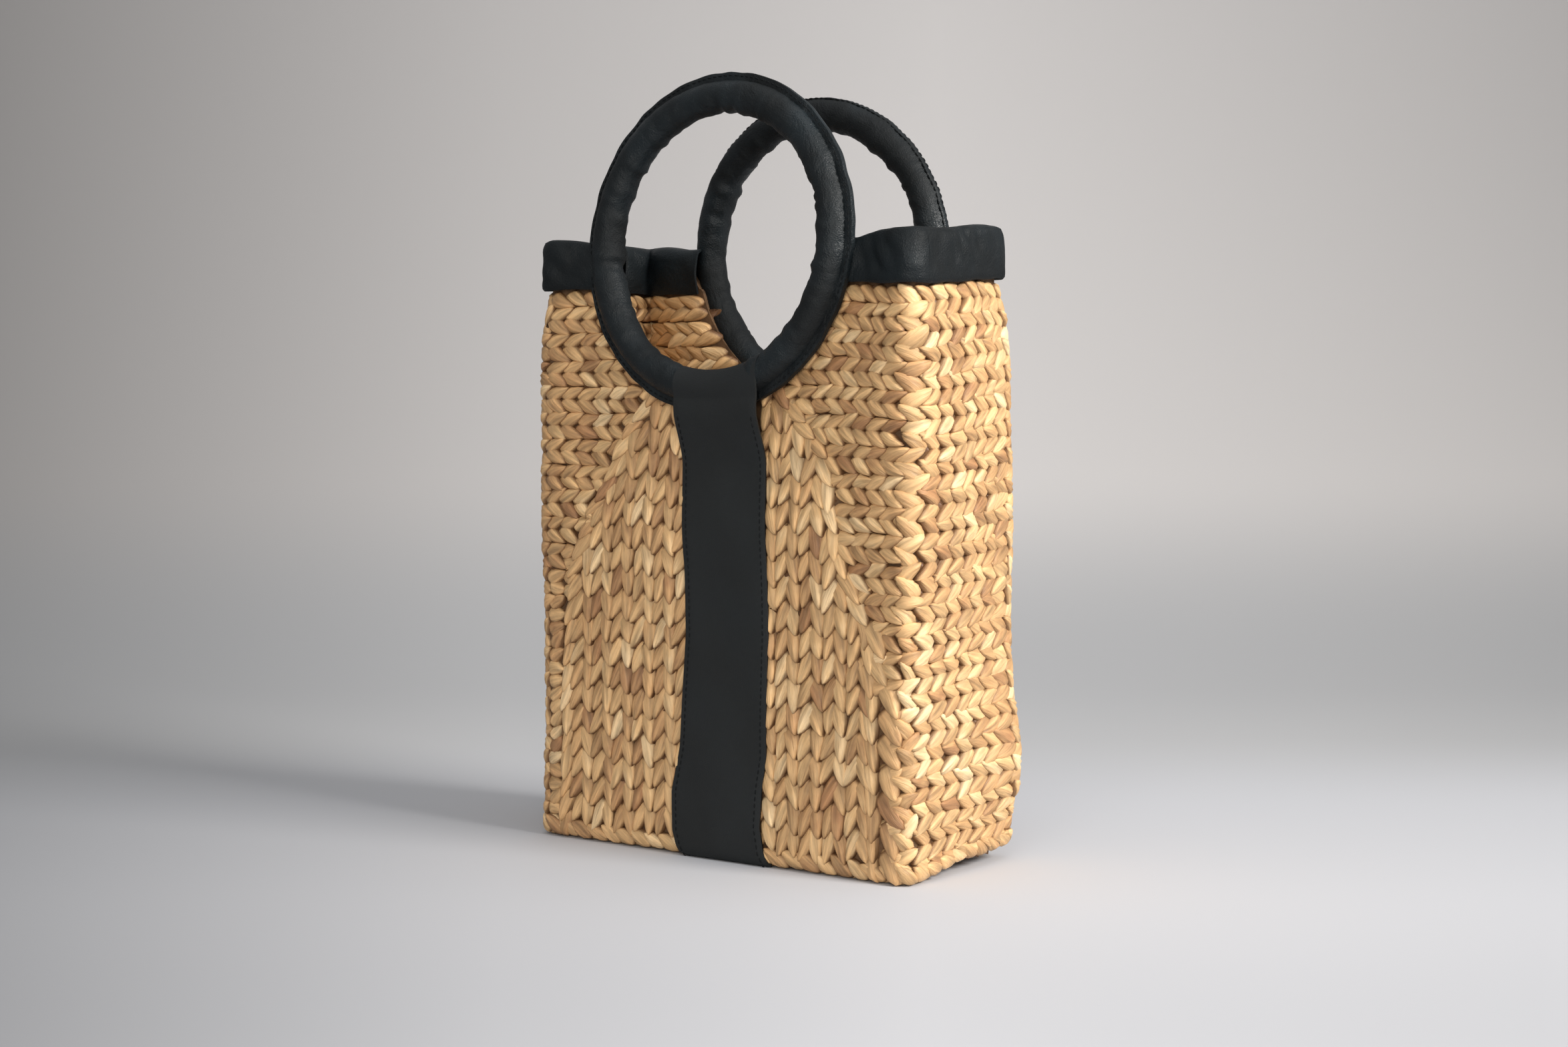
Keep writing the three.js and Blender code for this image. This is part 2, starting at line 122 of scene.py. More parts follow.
def ramp(tree, factor, stops):
    node = add_node(tree, "ShaderNodeValToRGB", {"Fac": factor})
    band = node.color_ramp
    while len(band.elements) < len(stops):
        band.elements.new(0.5)
    for element, (place, colour) in zip(band.elements, stops):
        element.position = place
        element.color = (*colour, 1)
    return node.outputs["Color"]


def rise(tree, value, low, high, start=0.0, end=1.0):
    limits = {"Value": value, "From Min": low, "From Max": high, "To Min": start, "To Max": end}
    return add_node(tree, "ShaderNodeMapRange", limits, interpolation_type="SMOOTHSTEP").outputs[0]


def noise(tree, place, **choices):
    return add_node(tree, "ShaderNodeTexNoise", {"Vector": place, **choices}).outputs["Fac"]


def stretched(tree, place, by):
    return add_node(tree, "ShaderNodeVectorMath", {0: place, 1: by}, operation="MULTIPLY").outputs[0]


def bump_from(tree, height, strength, distance):
    inputs = {"Height": height, "Strength": strength, "Distance": distance}
    return add_node(tree, "ShaderNodeBump", inputs).outputs["Normal"]


def new_group(name, inputs):
    """A group that puts out a colour, a roughness and a height."""
    group = bpy.data.node_groups.new(name, "ShaderNodeTree")
    for socket_name, (kind, value) in inputs.items():
        socket = group.interface.new_socket(socket_name, in_out="INPUT", socket_type="NodeSocket" + kind)
        if value is not None:
            socket.default_value = value
    for socket_name, kind in (("Colour", "Color"), ("Roughness", "Float"), ("Height", "Float")):
        group.interface.new_socket(socket_name, in_out="OUTPUT", socket_type="NodeSocket" + kind)
    return group, group.nodes.new("NodeGroupInput").outputs, group.nodes.new("NodeGroupOutput")


def new_material(name):
    material = bpy.data.materials.new(name)
    material.use_nodes = True
    tree = material.node_tree
    return material, tree, tree.nodes["Principled BSDF"]


# %% [markdown]
# ## Helpers for shapes
# Every piece starts as a basic shape whose points are moved, or as a plain list of points.

# %% Add shapes and pieces
def add_shape(name, make, **sizes):
    bpy.ops.object.select_all(action="DESELECT")
    make(**sizes)
    shape = bpy.context.object
    shape.name = name
    shape.data.name = name
    return shape


def points_of(piece):
    return np.array([v.co[:] for v in piece.data.vertices])


def mesh_piece(name, points, faces, soft_faces, *materials):
    """A piece from points in millimetres; soft_faces says for each face whether it is shaded smooth."""
    mesh = bpy.data.meshes.new(name)
    mesh.from_pydata((np.vstack(points) * MM).tolist(), [], faces)
    mesh.polygons.foreach_set("use_smooth", soft_faces)
    for material in materials:
        mesh.materials.append(material)
    mesh.update()
    piece = bpy.data.objects.new(name, mesh)
    bpy.context.scene.collection.objects.link(piece)
    return piece


# %% [markdown]
# ## The studio
# The bag stands on a pale paper sweep, which runs back and then curves slowly up behind it. The
# paper's grey has painted light in it: it is painted darker towards the left, as the soft light falls
# off, and the floor and the upright part are painted different greys. A broad lamp stands low at the
# right, so that the side is bright and the shadow falls long and soft to the left.

# %% Lay the paper sweep
# in metres, but for the bend, which is an angle in radians
SWEEP_FLAT, SWEEP_RADIUS, SWEEP_BEND = 0.62, 1.9, 1.35
SWEEP_START, SWEEP_LENGTH, SWEEP_HALF_WIDTH = -3.2, 6.6, 4.5
SWEEP_DROP = 0.0003
turn = math.radians(VIEW_TURN)
away = np.array([-math.sin(turn), math.cos(turn), 0.0])
across = np.array([math.cos(turn), math.sin(turn), 0.0])

sweep = add_shape("paper_sweep", bpy.ops.mesh.primitive_grid_add, x_subdivisions=8, y_subdivisions=96, size=2)
flat = points_of(sweep)
run = SWEEP_START + (flat[:, 1] + 1) / 2 * SWEEP_LENGTH
bend = np.clip((run - SWEEP_FLAT) / SWEEP_RADIUS, 0, SWEEP_BEND)
past = np.maximum(0, run - SWEEP_FLAT - SWEEP_BEND * SWEEP_RADIUS)
depth = np.minimum(run, SWEEP_FLAT) + SWEEP_RADIUS * np.sin(bend) + past * math.cos(SWEEP_BEND)
height = SWEEP_RADIUS * (1 - np.cos(bend)) + past * math.sin(SWEEP_BEND)
paper = depth[:, None] * away + (flat[:, 0] * SWEEP_HALF_WIDTH)[:, None] * across
paper[:, 2] = height - SWEEP_DROP
sweep.data.vertices.foreach_set("co", paper.ravel())
bpy.ops.object.shade_smooth()
print("sweep", len(flat), "points")

# %% Paper grey
paper_grey, tree, shader = new_material("paper_grey")
turned = add_node(
    tree, "ShaderNodeMapping", {"Vector": object_place(tree), "Rotation": (0, 0, -turn)}, vector_type="POINT"
)
split = add_node(tree, "ShaderNodeSeparateXYZ", {"Vector": turned.outputs["Vector"]}).outputs
# how far to the side a point lies, as seen from a place in front of the bag
STUDIO_FRONT, NEAREST, SPREAD = 1.14, 0.72, 1.474
distance = math_node(tree, "MAXIMUM", math_node(tree, "ADD", split["Y"], STUDIO_FRONT), NEAREST)
sideways = math_node(tree, "MULTIPLY_ADD", math_node(tree, "DIVIDE", split["X"], distance), SPREAD, 0.5)
# painted falloff of light: the paper is painted darker to the left and a little to the right, more on the
# upright part of the paper
NEAR_PAINTED_FALLOFF = [(0.0, 0.59), (0.33, 0.88), (0.6, 1.0), (1.0, 0.85)]
FAR_PAINTED_FALLOFF = [(0.0, 0.64), (0.33, 0.95), (0.58, 1.0), (1.0, 0.72)]
WALL_PAINTED_FALLOFF = [(0.0, 0.5), (0.33, 0.84), (0.6, 1.0), (1.0, 0.73)]
# painted light: the near floor, the far floor and the upright part get greys of their own, paler and warmer
# up the wall, though the paper is one sheet
NEAR_GREY, FAR_GREY, WALL_GREY = (0.515, 0.525, 0.555), (0.545, 0.55, 0.563), (0.802, 0.776, 0.764)
near_painted_falloff, far_painted_falloff, wall_painted_falloff = (
    ramp(tree, sideways, [(at, (share, share, share)) for at, share in stops])
    for stops in (NEAR_PAINTED_FALLOFF, FAR_PAINTED_FALLOFF, WALL_PAINTED_FALLOFF)
)
near_grey = mix_colour(tree, 1.0, NEAR_GREY, near_painted_falloff, "MULTIPLY")
# painted shade: the floor is painted dimmer towards its front edge
front_painted_dim = as_grey(tree, rise(tree, split["Y"], -0.36, -0.1, 0.96, 1.08))
near_grey = mix_colour(tree, 1.0, near_grey, front_painted_dim, "MULTIPLY")
far_grey = mix_colour(tree, 1.0, FAR_GREY, far_painted_falloff, "MULTIPLY")
floor_grey = mix_colour(tree, rise(tree, split["Y"], 0.1, 0.4), near_grey, far_grey)
wall_grey = mix_colour(tree, 1.0, WALL_GREY, wall_painted_falloff, "MULTIPLY")
grey = mix_colour(tree, rise(tree, split["Z"], 0.0, 0.15), floor_grey, wall_grey)
fill(tree, shader, {"Base Color": grey, "Roughness": 0.75, "Specular IOR Level": 0.2})
sweep.data.materials.append(paper_grey)


# %% Hang the lamps
def soft_lamp(name, turn_degrees, rise_degrees, distance, size, power, colour, aim=(0, 0, 0.16)):
    lamp = bpy.data.lights.new(name, "AREA")
    lamp.shape = "DISK"
    lamp.size = size
    lamp.energy = power
    lamp.color = colour
    side, lift = math.radians(turn_degrees), math.radians(rise_degrees)
    outward = np.array([math.sin(side) * math.cos(lift), -math.cos(side) * math.cos(lift), math.sin(lift)])
    holder = bpy.data.objects.new(name, lamp)
    holder.location = np.array(aim) + outward * distance
    holder.rotation_mode = "QUATERNION"
    holder.rotation_quaternion = Vector(-outward).to_track_quat("-Z", "Y")
    bpy.context.scene.collection.objects.link(holder)


soft_lamp("low_key", 92, 28, 1.9, 0.7, 43.5, (1.0, 0.968, 0.928))
soft_lamp("front_fill", 28, 18, 1.7, 1.1, 11.5, (1.0, 0.945, 0.87), aim=(0, 0, 0.1))
soft_lamp("top_fill", 60, 80, 2.2, 2.0, 12, (1.0, 1.0, 1.0))

room = bpy.data.worlds.new("room")
room.use_nodes = True
room_light = room.node_tree.nodes["Background"]
fill(room.node_tree, room_light, {"Color": (0.97, 0.98, 1.0, 1), "Strength": 0.36})
bpy.context.scene.world = room
bpy.context.scene.view_settings.view_transform = "Standard"

# %% [markdown]
# ## The shape of the basket
# A twined basket has no flat plates: it is one shell, lofted from a rounded foot to a narrower
# rim, and it sags a little here and there. One function gives any point of that shell. Its first
# number runs round the bag from the middle of the front, the second runs up the wall, and the
# third stands out from the wall. Everything that lies on the wall is placed with it.

# %% One function for the shell
RIM_HALF_WIDTH, FOOT_HALF_WIDTH = 113.0, 114.0
RIM_HALF_DEPTH, FOOT_HALF_DEPTH = 42.0, 46.0
BELLY, FOOT_ROUNDING, WALL = 2.0, 3.5, 9.0
CORNER, SHARPEST_CORNER = 7.0, 1.5
FLAT_FRONT, FLAT_SIDE = 106.5, 37.0
ARC = CORNER * math.pi / 2
CORNER_MIDDLE = FLAT_FRONT + ARC / 2
CORNER_END = FLAT_FRONT + ARC
QUARTER = CORNER_END + FLAT_SIDE
ROUND = 4 * QUARTER
# the panels lean in above this height, about a line at this depth in the wall
FLEX_HEIGHT, RING_TURN_Y, LEAN = 200.0, 37.5, math.radians(4)
# the middle of each ring, and the radius of the notch it is sewn into
RING_HEIGHT, RING_DEPTH, NOTCH = 294.4, 43.85, 76.6
RING_X = {-1: -3.4, 1: 2.0}
# the panel leans with its ring up to SHOULDER_FROM, and less and less from there to the side
SHOULDER_FROM, SIDE_FROM = 81.0, 112.6
SHOULDER = RIM_HALF_WIDTH - SHOULDER_FROM
# each panel's middle on the way round, its name, and whether x grows or falls along that way
PANELS = ((0, "front", 1), (2 * QUARTER, "back", -1))
ENDS = ((-1, "front"), (1, "back"))
HANDS = ((1, "right"), (-1, "left"))


def smooth(t):
    t = np.clip(t, 0, 1)
    return t * t * (3 - 2 * t)


def up_the_wall(z):
    """The second number of the shell for a height above the floor."""
    z = np.asarray(z, float)
    round_part = FOOT_ROUNDING * np.arccos(np.clip(1 - z / FOOT_ROUNDING, -1, 1))
    return np.where(z < FOOT_ROUNDING, round_part, z + FOOT_ROUNDING * (math.pi / 2 - 1))


FOOT_CURL_AT = [0, 112, 131, 143, 154, 176, 190, 200, 216, 240, 309]
FOOT_CURL = [0, 0, 1, 3.4, 5, 5, 6.4, 8.4, 5, 1.5, 0]


def foot_lift(u, w):
    """The soft foot curls up from the floor below the sides, most of all at the back corners."""
    from_front = np.abs(np.mod(np.asarray(u, float) + 2 * QUARTER, ROUND) - 2 * QUARTER)
    return np.interp(from_front, FOOT_CURL_AT, FOOT_CURL) * (1 - smooth((w + 2) / 42))


def back_right(u, spread):
    """How near a place is to the back right corner, from 0 to 1."""
    return np.exp(-(((np.mod(np.asarray(u, float), ROUND) - 2 * QUARTER + CORNER_MIDDLE) / spread) ** 2))


def rim_shift(u):
    """The rim and the rows below it hang at the front right corner and rise at the back right one."""
    low = np.exp(-(((np.mod(np.asarray(u, float), ROUND) - CORNER_MIDDLE) / 42) ** 2))
    return 1.9 * back_right(u, 42) - 3.0 * low


def rim_pull(u, z):
    """The rim's back right corner is drawn in."""
    return 6.0 * back_right(u, 36) * smooth((z - 225) / 60)


def sag(u, w):
    """Low, soft swellings and hollows of the wall."""
    a = 2 * math.pi * np.asarray(u) / ROUND
    b = np.asarray(w) / 300
    fade = smooth(w / 60) * smooth((300 - w) / 60)
    wave = 0.55 * np.sin(3 * a + 5.1 * b + 0.7) + 0.45 * np.sin(7 * a - 8.3 * b + 2.1)
    wave += 0.3 * np.sin(13 * a + 15.7 * b + 4.4)
    z = w - 5
    from_middle = np.abs(np.mod(np.asarray(u) + ROUND / 4, ROUND / 2) - ROUND / 4)
    middle = 1 - smooth((from_middle - 70) / 30)
    full = 2.8 * smooth((z - 105) / 70) * smooth((272 - z) / 22) * (1 - middle * smooth((z - 150) / 40))
    from_corner = (np.mod(u, ROUND) - (2 * QUARTER - CORNER_MIDDLE)) / 26
    low_bulge = 4.2 * np.exp(-(from_corner**2) - ((z - 45) / 24) ** 2)
    return wave * fade + full + low_bulge


def skin(u, w):
    """A point on the outer face of the shell."""
    u, w = np.broadcast_arrays(np.asarray(u, float), np.asarray(w, float))
    u = np.mod(u, ROUND)
    u = np.where(u >= ROUND, 0.0, u)
    phi = np.clip(w / FOOT_ROUNDING, 0, math.pi / 2)
    z = FOOT_ROUNDING * (1 - np.cos(phi)) + np.maximum(0, w - FOOT_ROUNDING * math.pi / 2)
    inset = FOOT_ROUNDING * (1 - np.sin(phi)) + np.maximum(0, -w)
    up = np.clip((z - FOOT_ROUNDING) / (FLEX_HEIGHT - FOOT_ROUNDING), 0, 1)
    half_width = FOOT_HALF_WIDTH + (RIM_HALF_WIDTH - FOOT_HALF_WIDTH) * up
    half_depth = FOOT_HALF_DEPTH + (RIM_HALF_DEPTH - FOOT_HALF_DEPTH) * up
    half_depth = half_depth + BELLY * np.sin(math.pi * up) - inset
    half_width = half_width - inset
    corner = np.maximum(CORNER - inset, SHARPEST_CORNER)
    quadrant = np.floor(u / QUARTER)
    part = u - quadrant * QUARTER
    part = np.where(quadrant % 2 == 1, QUARTER - part, part)
    theta = np.clip((part - FLAT_FRONT) / CORNER, 0, math.pi / 2)
    along_front = np.minimum(part / FLAT_FRONT, 1)
    along_side = np.clip((part - FLAT_FRONT - ARC) / FLAT_SIDE, 0, 1)
    x = along_front * (half_width - corner) + corner * np.sin(theta)
    y = (half_depth - corner) * (1 - along_side) + corner * np.cos(theta)
    right = np.where((quadrant == 0) | (quadrant == 1), 1, -1)
    front = np.where((quadrant == 0) | (quadrant == 3), 1, -1)
    lean = (1 - smooth((x - SHOULDER_FROM) / SHOULDER)) * math.tan(LEAN) * np.maximum(0, z - FLEX_HEIGHT)
    drawn_in = rim_pull(u, z) * np.where(quadrant == 1, y / half_depth, 0)
    y = y - lean - drawn_in
    x = x - 0.3 * drawn_in
    z = z + foot_lift(u, w) + rim_shift(u) * smooth((w - 20) / 150)
    return np.stack([right * x, -front * y, z], -1)


def shell(u, w, h):
    """A point that stands h out from the shell, in millimetres."""
    step = 0.4
    du = skin(u + step, w) - skin(u - step, w)
    dw = skin(u, w + step) - skin(u, w - step)
    out = np.cross(du, dw)
    out /= np.linalg.norm(out, axis=-1, keepdims=True)
    return skin(u, w) + out * (np.asarray(h) + sag(u, w))[..., None]


print("perimeter", round(ROUND, 1), "mm; middle of the front", shell(0, up_the_wall(100), 0).round(1))

# %% [markdown]
# ## One stitch of stem
# Each stitch is a flattened stem. It comes up at a blunt root, swells, and narrows to a sharp tip
# that lies over its neighbour. It could be a cloth strip or a curve, but thousands are needed, so
# it is one low shape of a few dozen faces: a sphere with its poles at the two ends, cut flat
# below, whose rings are resized one by one into a leaf.

# %% Model the stitch
def pick_points(piece, wanted):
    """Enter edit mode with only the wanted points selected."""
    bpy.ops.object.mode_set(mode="EDIT")
    bpy.ops.mesh.select_mode(type="VERT")
    bpy.ops.mesh.select_all(action="DESELECT")
    bpy.ops.object.mode_set(mode="OBJECT")
    piece.data.vertices.foreach_set("select", wanted)
    bpy.ops.object.mode_set(mode="EDIT")


def lying_ball(name, segments, rings):
    """A ball with its poles at the two ends of the x axis."""
    ball = add_shape(
        name, bpy.ops.mesh.primitive_uv_sphere_add, segments=segments, ring_count=rings, radius=1,
        rotation=(0, math.pi / 2, 0),
    )
    bpy.ops.object.transform_apply(location=False, rotation=True, scale=False)
    return ball


def taken_apart(piece):
    """The points and faces of a shape, which is then thrown away."""
    points = points_of(piece)
    faces = [tuple(p.vertices) for p in piece.data.polygons]
    bpy.data.objects.remove(piece)
    return points, faces


stitch = lying_ball("stem_stitch", 12, 8)
bpy.ops.object.mode_set(mode="EDIT")
bpy.ops.mesh.select_all(action="SELECT")
bpy.ops.mesh.bisect(plane_co=(0, 0, -0.2), plane_no=(0, 0, 1), clear_inner=True, use_fill=True)
bpy.ops.object.mode_set(mode="OBJECT")
# how wide and how high each ring of the ball is made, by its place from tip to root
RING_SIZES = {
    -0.924: (0.50, 1.55), -0.707: (0.68, 1.22), -0.383: (0.85, 1.05), 0.0: (0.98, 1.0),
    0.383: (1.15, 1.08), 0.707: (1.40, 1.34), 0.924: (1.95, 1.80),
}
for along, (wide, high) in RING_SIZES.items():
    pick_points(stitch, [abs(v.co.x - along) < 0.03 for v in stitch.data.vertices])
    bpy.ops.transform.resize(value=(1, wide, high), center_override=(along, 0, 0))
    bpy.ops.object.mode_set(mode="OBJECT")
stitch_points, stitch_faces = taken_apart(stitch)
print("one stitch:", len(stitch_points), "points", len(stitch_faces), "faces")

# %% [markdown]
# ## Laying stitches
# A stitch is laid by its place on the shell, its slant, its size and how far its blunt end stands
# proud. Each of its points is put on the shell by itself, so a stitch bends round a corner as a
# real stem does. Every stitch also carries three notes for the material: how far along and around
# it a point is, so that fibres run lengthwise and meet at its ends, how deep the point lies, which
# becomes painted shade low on the stitch and near its root, and the stem's own tone.

# %% Notes and mesh building
dice = np.random.default_rng(41)


class Basketry:
    """Collects stitches and wall patches that become one piece."""

    def __init__(self):
        self.points, self.faces, self.fibre, self.tone, self.deep, self.dark = [], [], [], [], [], []
        self.count = 0

    def add(self, points, faces, fibre, tone, deep, dark):
        self.points.append(points)
        self.faces += [tuple(i + self.count for i in face) for face in faces]
        self.fibre.append(fibre)
        self.tone.append(tone)
        self.deep.append(deep)
        self.dark += [dark] * len(faces)
        self.count += len(points)


groups = {}
LOWEST_STEM = 0.25


def group_for(u, w):
    """The piece that a stitch belongs to, by its place: what leans with a ring and what doesn't."""
    if w < -2:
        return "base_weave"
    x, y, z = skin(u, w)
    end = "front" if y < 0 else "back"
    hand = "right" if x > 0 else "left"
    if abs(x) > SIDE_FROM:
        return hand + "_side_weave"
    if z < FLEX_HEIGHT:
        return end + "_weave"
    return end + "_top_weave" if abs(x) < SHOULDER_FROM else f"{end}_{hand}_shoulder_weave"


def lay(surface, u, w, angle, length, width, height, skew, crown, tip, roll, sway, curl, inside, group):
    """angle is where the blunt root points; skew turns the width; roll lifts one long edge."""
    a, b, h = stitch_points.T
    x = a * length / 2
    y = b * width / 2 + curl * (a * a - 0.35) + sway * (a**3 - 0.6 * a)
    along, across = math.radians(angle), math.radians(angle + 90 + skew)
    du = x * math.cos(along) + y * math.cos(across)
    dw = x * math.sin(along) + y * math.sin(across)
    ridges = 0.05 * np.sin(7 * np.arctan2(b, h + 0.3) + dice.uniform(0, 6))
    out = crown + height * ((ridges - 1) * np.abs(1 - h) ** 1.6) + tip * a + roll * b
    if inside:
        out = -WALL - out
    points = surface(u + du, w + dw, out)
    points[:, 2] = np.maximum(points[:, 2], LOWEST_STEM)
    around = np.arctan2(b, h + 0.2) / math.pi
    fibre = np.stack([a, around, np.full(len(a), dice.random() * 60)], -1)
    tone = float(np.clip(dice.normal(0.5, 0.22), 0, 1))
    # painted shade: darker low on the stitch, where it dives under its neighbours, and towards its blunt root
    deep = np.clip(2.0 * h - 0.62, 0, 1) * np.clip(2.4 * (1 - a), 0.25, 1)
    faces = [tuple(reversed(f)) for f in stitch_faces] if inside else stitch_faces
    work = groups.setdefault(group or group_for(u, w), Basketry())
    work.add(points, faces, fibre, np.full(len(a), tone), deep, 0)


def vary(value, share):
    return value * (1 + share * (2 * dice.random() - 1))


# %% [markdown]
# ## The weave's drawing
# The panels are twined in level rows that run right round the bag. Two rows make a chain: the
# roots lie along its outer edges and the tips meet on its middle line. On the front the chains
# point right, on the sides they point back to the corner. In the middle of the front and the back
# they turn down: under a slanting border on each side, chains hang side by side like knitting.
# The border lines were measured on the front; the back isn't seen and is drawn the same way.

# %% The border lines and the ring's notch
LEFT_BORDER = [
    (-40, 228), (-53.5, 208), (-63, 194), (-68, 180), (-74, 172), (-80, 157), (-88, 137), (-92, 115),
    (-94, 90), (-95, 0),
]
RIGHT_BORDER = [
    (31, 228), (54, 205.5), (61, 197), (66.5, 180), (73, 150), (80, 136.5), (86, 120), (90, 104),
    (92, 85), (93, 0),
]
COLUMN, ROW_PAIR, TOP_ROW = 6.7, 13.2, 271.0


def border_x(line, z):
    xs, zs = np.array(line, float).T
    return np.interp(z, zs[::-1], xs[::-1])


def from_ring(end, x, z):
    """How far a point of the front (-1) or the back (1) lies from the middle of its ring."""
    return math.hypot(x - RING_X[end], z - RING_HEIGHT)


# %% The kinds of stitch
BOW = 1.5
# for each kind: the slant of its root, length, width, height, skew, how far the leading edge is
# lifted, how far the root is lifted, and how far the stitch stands proud
KINDS = {
    "panel_down": (149, 15.0, 10.6, 4.0, -36, -1.3, -1.0, 0.6),
    "panel_up": (206, 15.2, 10.2, 4.0, 34, 1.3, -0.9, 0.3),
    "side_up": (26, 18.0, 12.2, 4.0, 34, 1.3, -1.0, 0.4),
    "side_down": (-22, 18.4, 12.0, 4.0, -34, -1.3, -1.0, 0.3),
    "corner_up": (214, 15.4, 11.0, 4.2, 28, 1.0, -1.0, 0.3),
    "corner_down": (-38, 15.2, 10.8, 4.2, -28, -1.0, -1.0, 0.3),
    "fall_right": (107, 18.0, 9.2, 4.0, 14, 0.9, -1.6, 0.6),
    "fall_left": (73, 18.0, 9.2, 4.0, -14, -0.9, -1.6, 0.6),
    "border": (0, 18.5, 8.4, 4.4, 0, 0.3, -1.4, 1.1),
    "steep": (119, 18.0, 10.4, 4.4, 10, 0.9, -1.0, 1.2),
    "small": (204, 12.0, 9.4, 4.2, 15, 0.9, -0.6, 0.5),
    "turned": (0, 15.0, 9.2, 3.8, 0, 0.4, -0.6, 0.0),
}


def stitch_at(
    kind, u, z, turn_by=0.0, rough=0.0, mirror=False, slant=None, w=None,
    inside=False, size=1.0, group=None, surface=shell, proud=0.0,
):
    angle, length, width, height, skew, roll, root, crown = KINDS[kind]
    angle = (angle if slant is None else slant) + turn_by + dice.normal() * (3.5 + 14 * rough)
    bow = BOW * min(1, abs(skew) / 30) * (1 if roll > 0 else -1)
    curl = dice.normal() * (0.35 + rough)
    sway = 0.45 * (1 if roll > 0 else -1)
    if mirror:
        angle, skew, roll, sway, bow = 180 - angle, -skew, -roll, -sway, -bow
    place = float(up_the_wall(z)) if w is None else w
    lay(
        surface, u + dice.normal() * 0.35, place + dice.normal() * 0.3, angle,
        vary(length, 0.08) * size, vary(width, 0.09) * size, vary(height, 0.08), skew,
        crown + proud + dice.normal() * 0.15, root, roll, sway, curl + bow, inside, group,
    )


# %% Level rows
ROWS = [(TOP_ROW - step * ROW_PAIR / 2, step % 2 == 0) for step in range(41)]
CORNER_STITCH = 9.8
CORNERS = [
    CORNER_MIDDLE, 2 * QUARTER - CORNER_MIDDLE,
    2 * QUARTER + CORNER_MIDDLE, 4 * QUARTER - CORNER_MIDDLE,
]


def wave_of(u, z):
    return z + 0.6 * math.sin(u / 17 + z / 23)


def panel_row(centre, sign, hand, z, down):
    """One level row of the front or back, from the corner in to the border."""
    line, pitch = (LEFT_BORDER, 9.2) if hand < 0 else (RIGHT_BORDER, 8.6)
    edge = abs(border_x(line, z))
    place = CORNER_MIDDLE - CORNER_STITCH
    while place - edge > 2.2 and from_ring(-sign, hand * place, z) > NOTCH - 3.5:
        clear = place - edge
        u, mirror = centre + sign * hand * place, sign < 0
        # low down the rows turn steep beside the right border and uneven beside the left one
        if clear < 11 and z < 118 and hand > 0:
            kind, up = ("steep", 0.5) if down else ("small", -1.5)
            stitch_at(kind, u + sign * 1.2, z + up, mirror=mirror, rough=0.2, size=1.12)
        elif clear < 13 and z < 150 and hand < 0:
            stitch_at("small", u, z, turn_by=dice.uniform(-38, 38), mirror=mirror, rough=0.5)
        else:
            kind, up = ("panel_down", -0.25) if down else ("panel_up", 0.25)
            lean = -14 * math.exp(-clear / 7) if down and hand > 0 else 0
            rough = 0.05 + 0.5 * math.exp(-clear / 5)
            stitch_at(kind, u, wave_of(u, z) + up, turn_by=lean, rough=rough, mirror=mirror)
        place -= pitch


# along the row, from the middle of the side
SIDE_PLACES = (-31.5, -20.0, -9.0, 1.5, 11.5, 21.0, 30.0)
for z, down in ROWS:
    for corner in CORNERS:
        inward = 1.2 if QUARTER < corner < 2 * QUARTER or corner > 3 * QUARTER else 0.0
        place = corner - inward + dice.normal() * 0.9
        stitch_at("corner_down" if down else "corner_up", place, z, rough=0.35, size=vary(1.0, 0.1))
    kind, up = ("side_down", 0.85) if down else ("side_up", -0.7)
    for side in (QUARTER, 3 * QUARTER):
        for at in SIDE_PLACES:
            u = side + at + dice.normal() * 0.5
            stitch_at(kind, u, wave_of(u, z) + up, rough=0.12)
    for hand in (-1, 1):
        for centre, end, sign in PANELS:
            panel_row(centre, sign, hand, z, down)
print("level rows:", {name: g.count // len(stitch_points) for name, g in groups.items()})


# %% Hanging chains under the borders
# the first column on each side starts under the strap's edge
COLUMNS_FROM = {-1: -10.2, 1: 24.2}
LOWEST_FALL, FALL_PITCH = 14.5, 11.7


def hanging_column(centre, sign, hand, line, column):
    """One column beside the strap, from the foot up to the border or the ring."""
    x = COLUMNS_FROM[hand] + hand * (column + 0.5) * COLUMN
    pair, second = divmod(column, 2)
    kind = "fall_right" if second == (hand > 0) else "fall_left"
    for n in range(22):
        z = LOWEST_FALL + FALL_PITCH * n + 1.3 * math.sin(pair * 1.7 + n * 0.35 + hand)
        limit = abs(border_x(line, z))
        if abs(x) > limit - 2.5 or from_ring(-sign, x, z + 3) < NOTCH - 6:
            break
        near = math.exp(-(limit - abs(x)) / 11)
        turn_by = (-12 if hand < 0 else 10) * near
        proud = 0.0 if column else -2.1 * (1 - float(smooth((z - 165) / 20)))
        stitch_at(kind, centre + sign * x, z, turn_by=turn_by, rough=0.06, mirror=sign < 0, proud=proud)


def border(centre, sign, line):
    z = 6.0
    while z < 226:
        x = border_x(line, z)
        slope = math.degrees(math.atan2(8, border_x(line, z + 8) - x))
        if from_ring(-sign, x, z) < NOTCH - 2:
            break
        slant = slope + (9 if x > 0 else -9)
        size = vary(1.0, 0.12)
        stitch_at("border", centre + sign * x, z, slant=slant, mirror=sign < 0, rough=0.25, size=size)
        z += 11.0 * math.sin(math.radians(slope))


for centre, end, sign in PANELS:
    for hand, line in ((-1, LEFT_BORDER), (1, RIGHT_BORDER)):
        for column in range(14):
            hanging_column(centre, sign, hand, line, column)
        border(centre, sign, line)
print("with chains:", {name: g.count // len(stitch_points) for name, g in groups.items()})


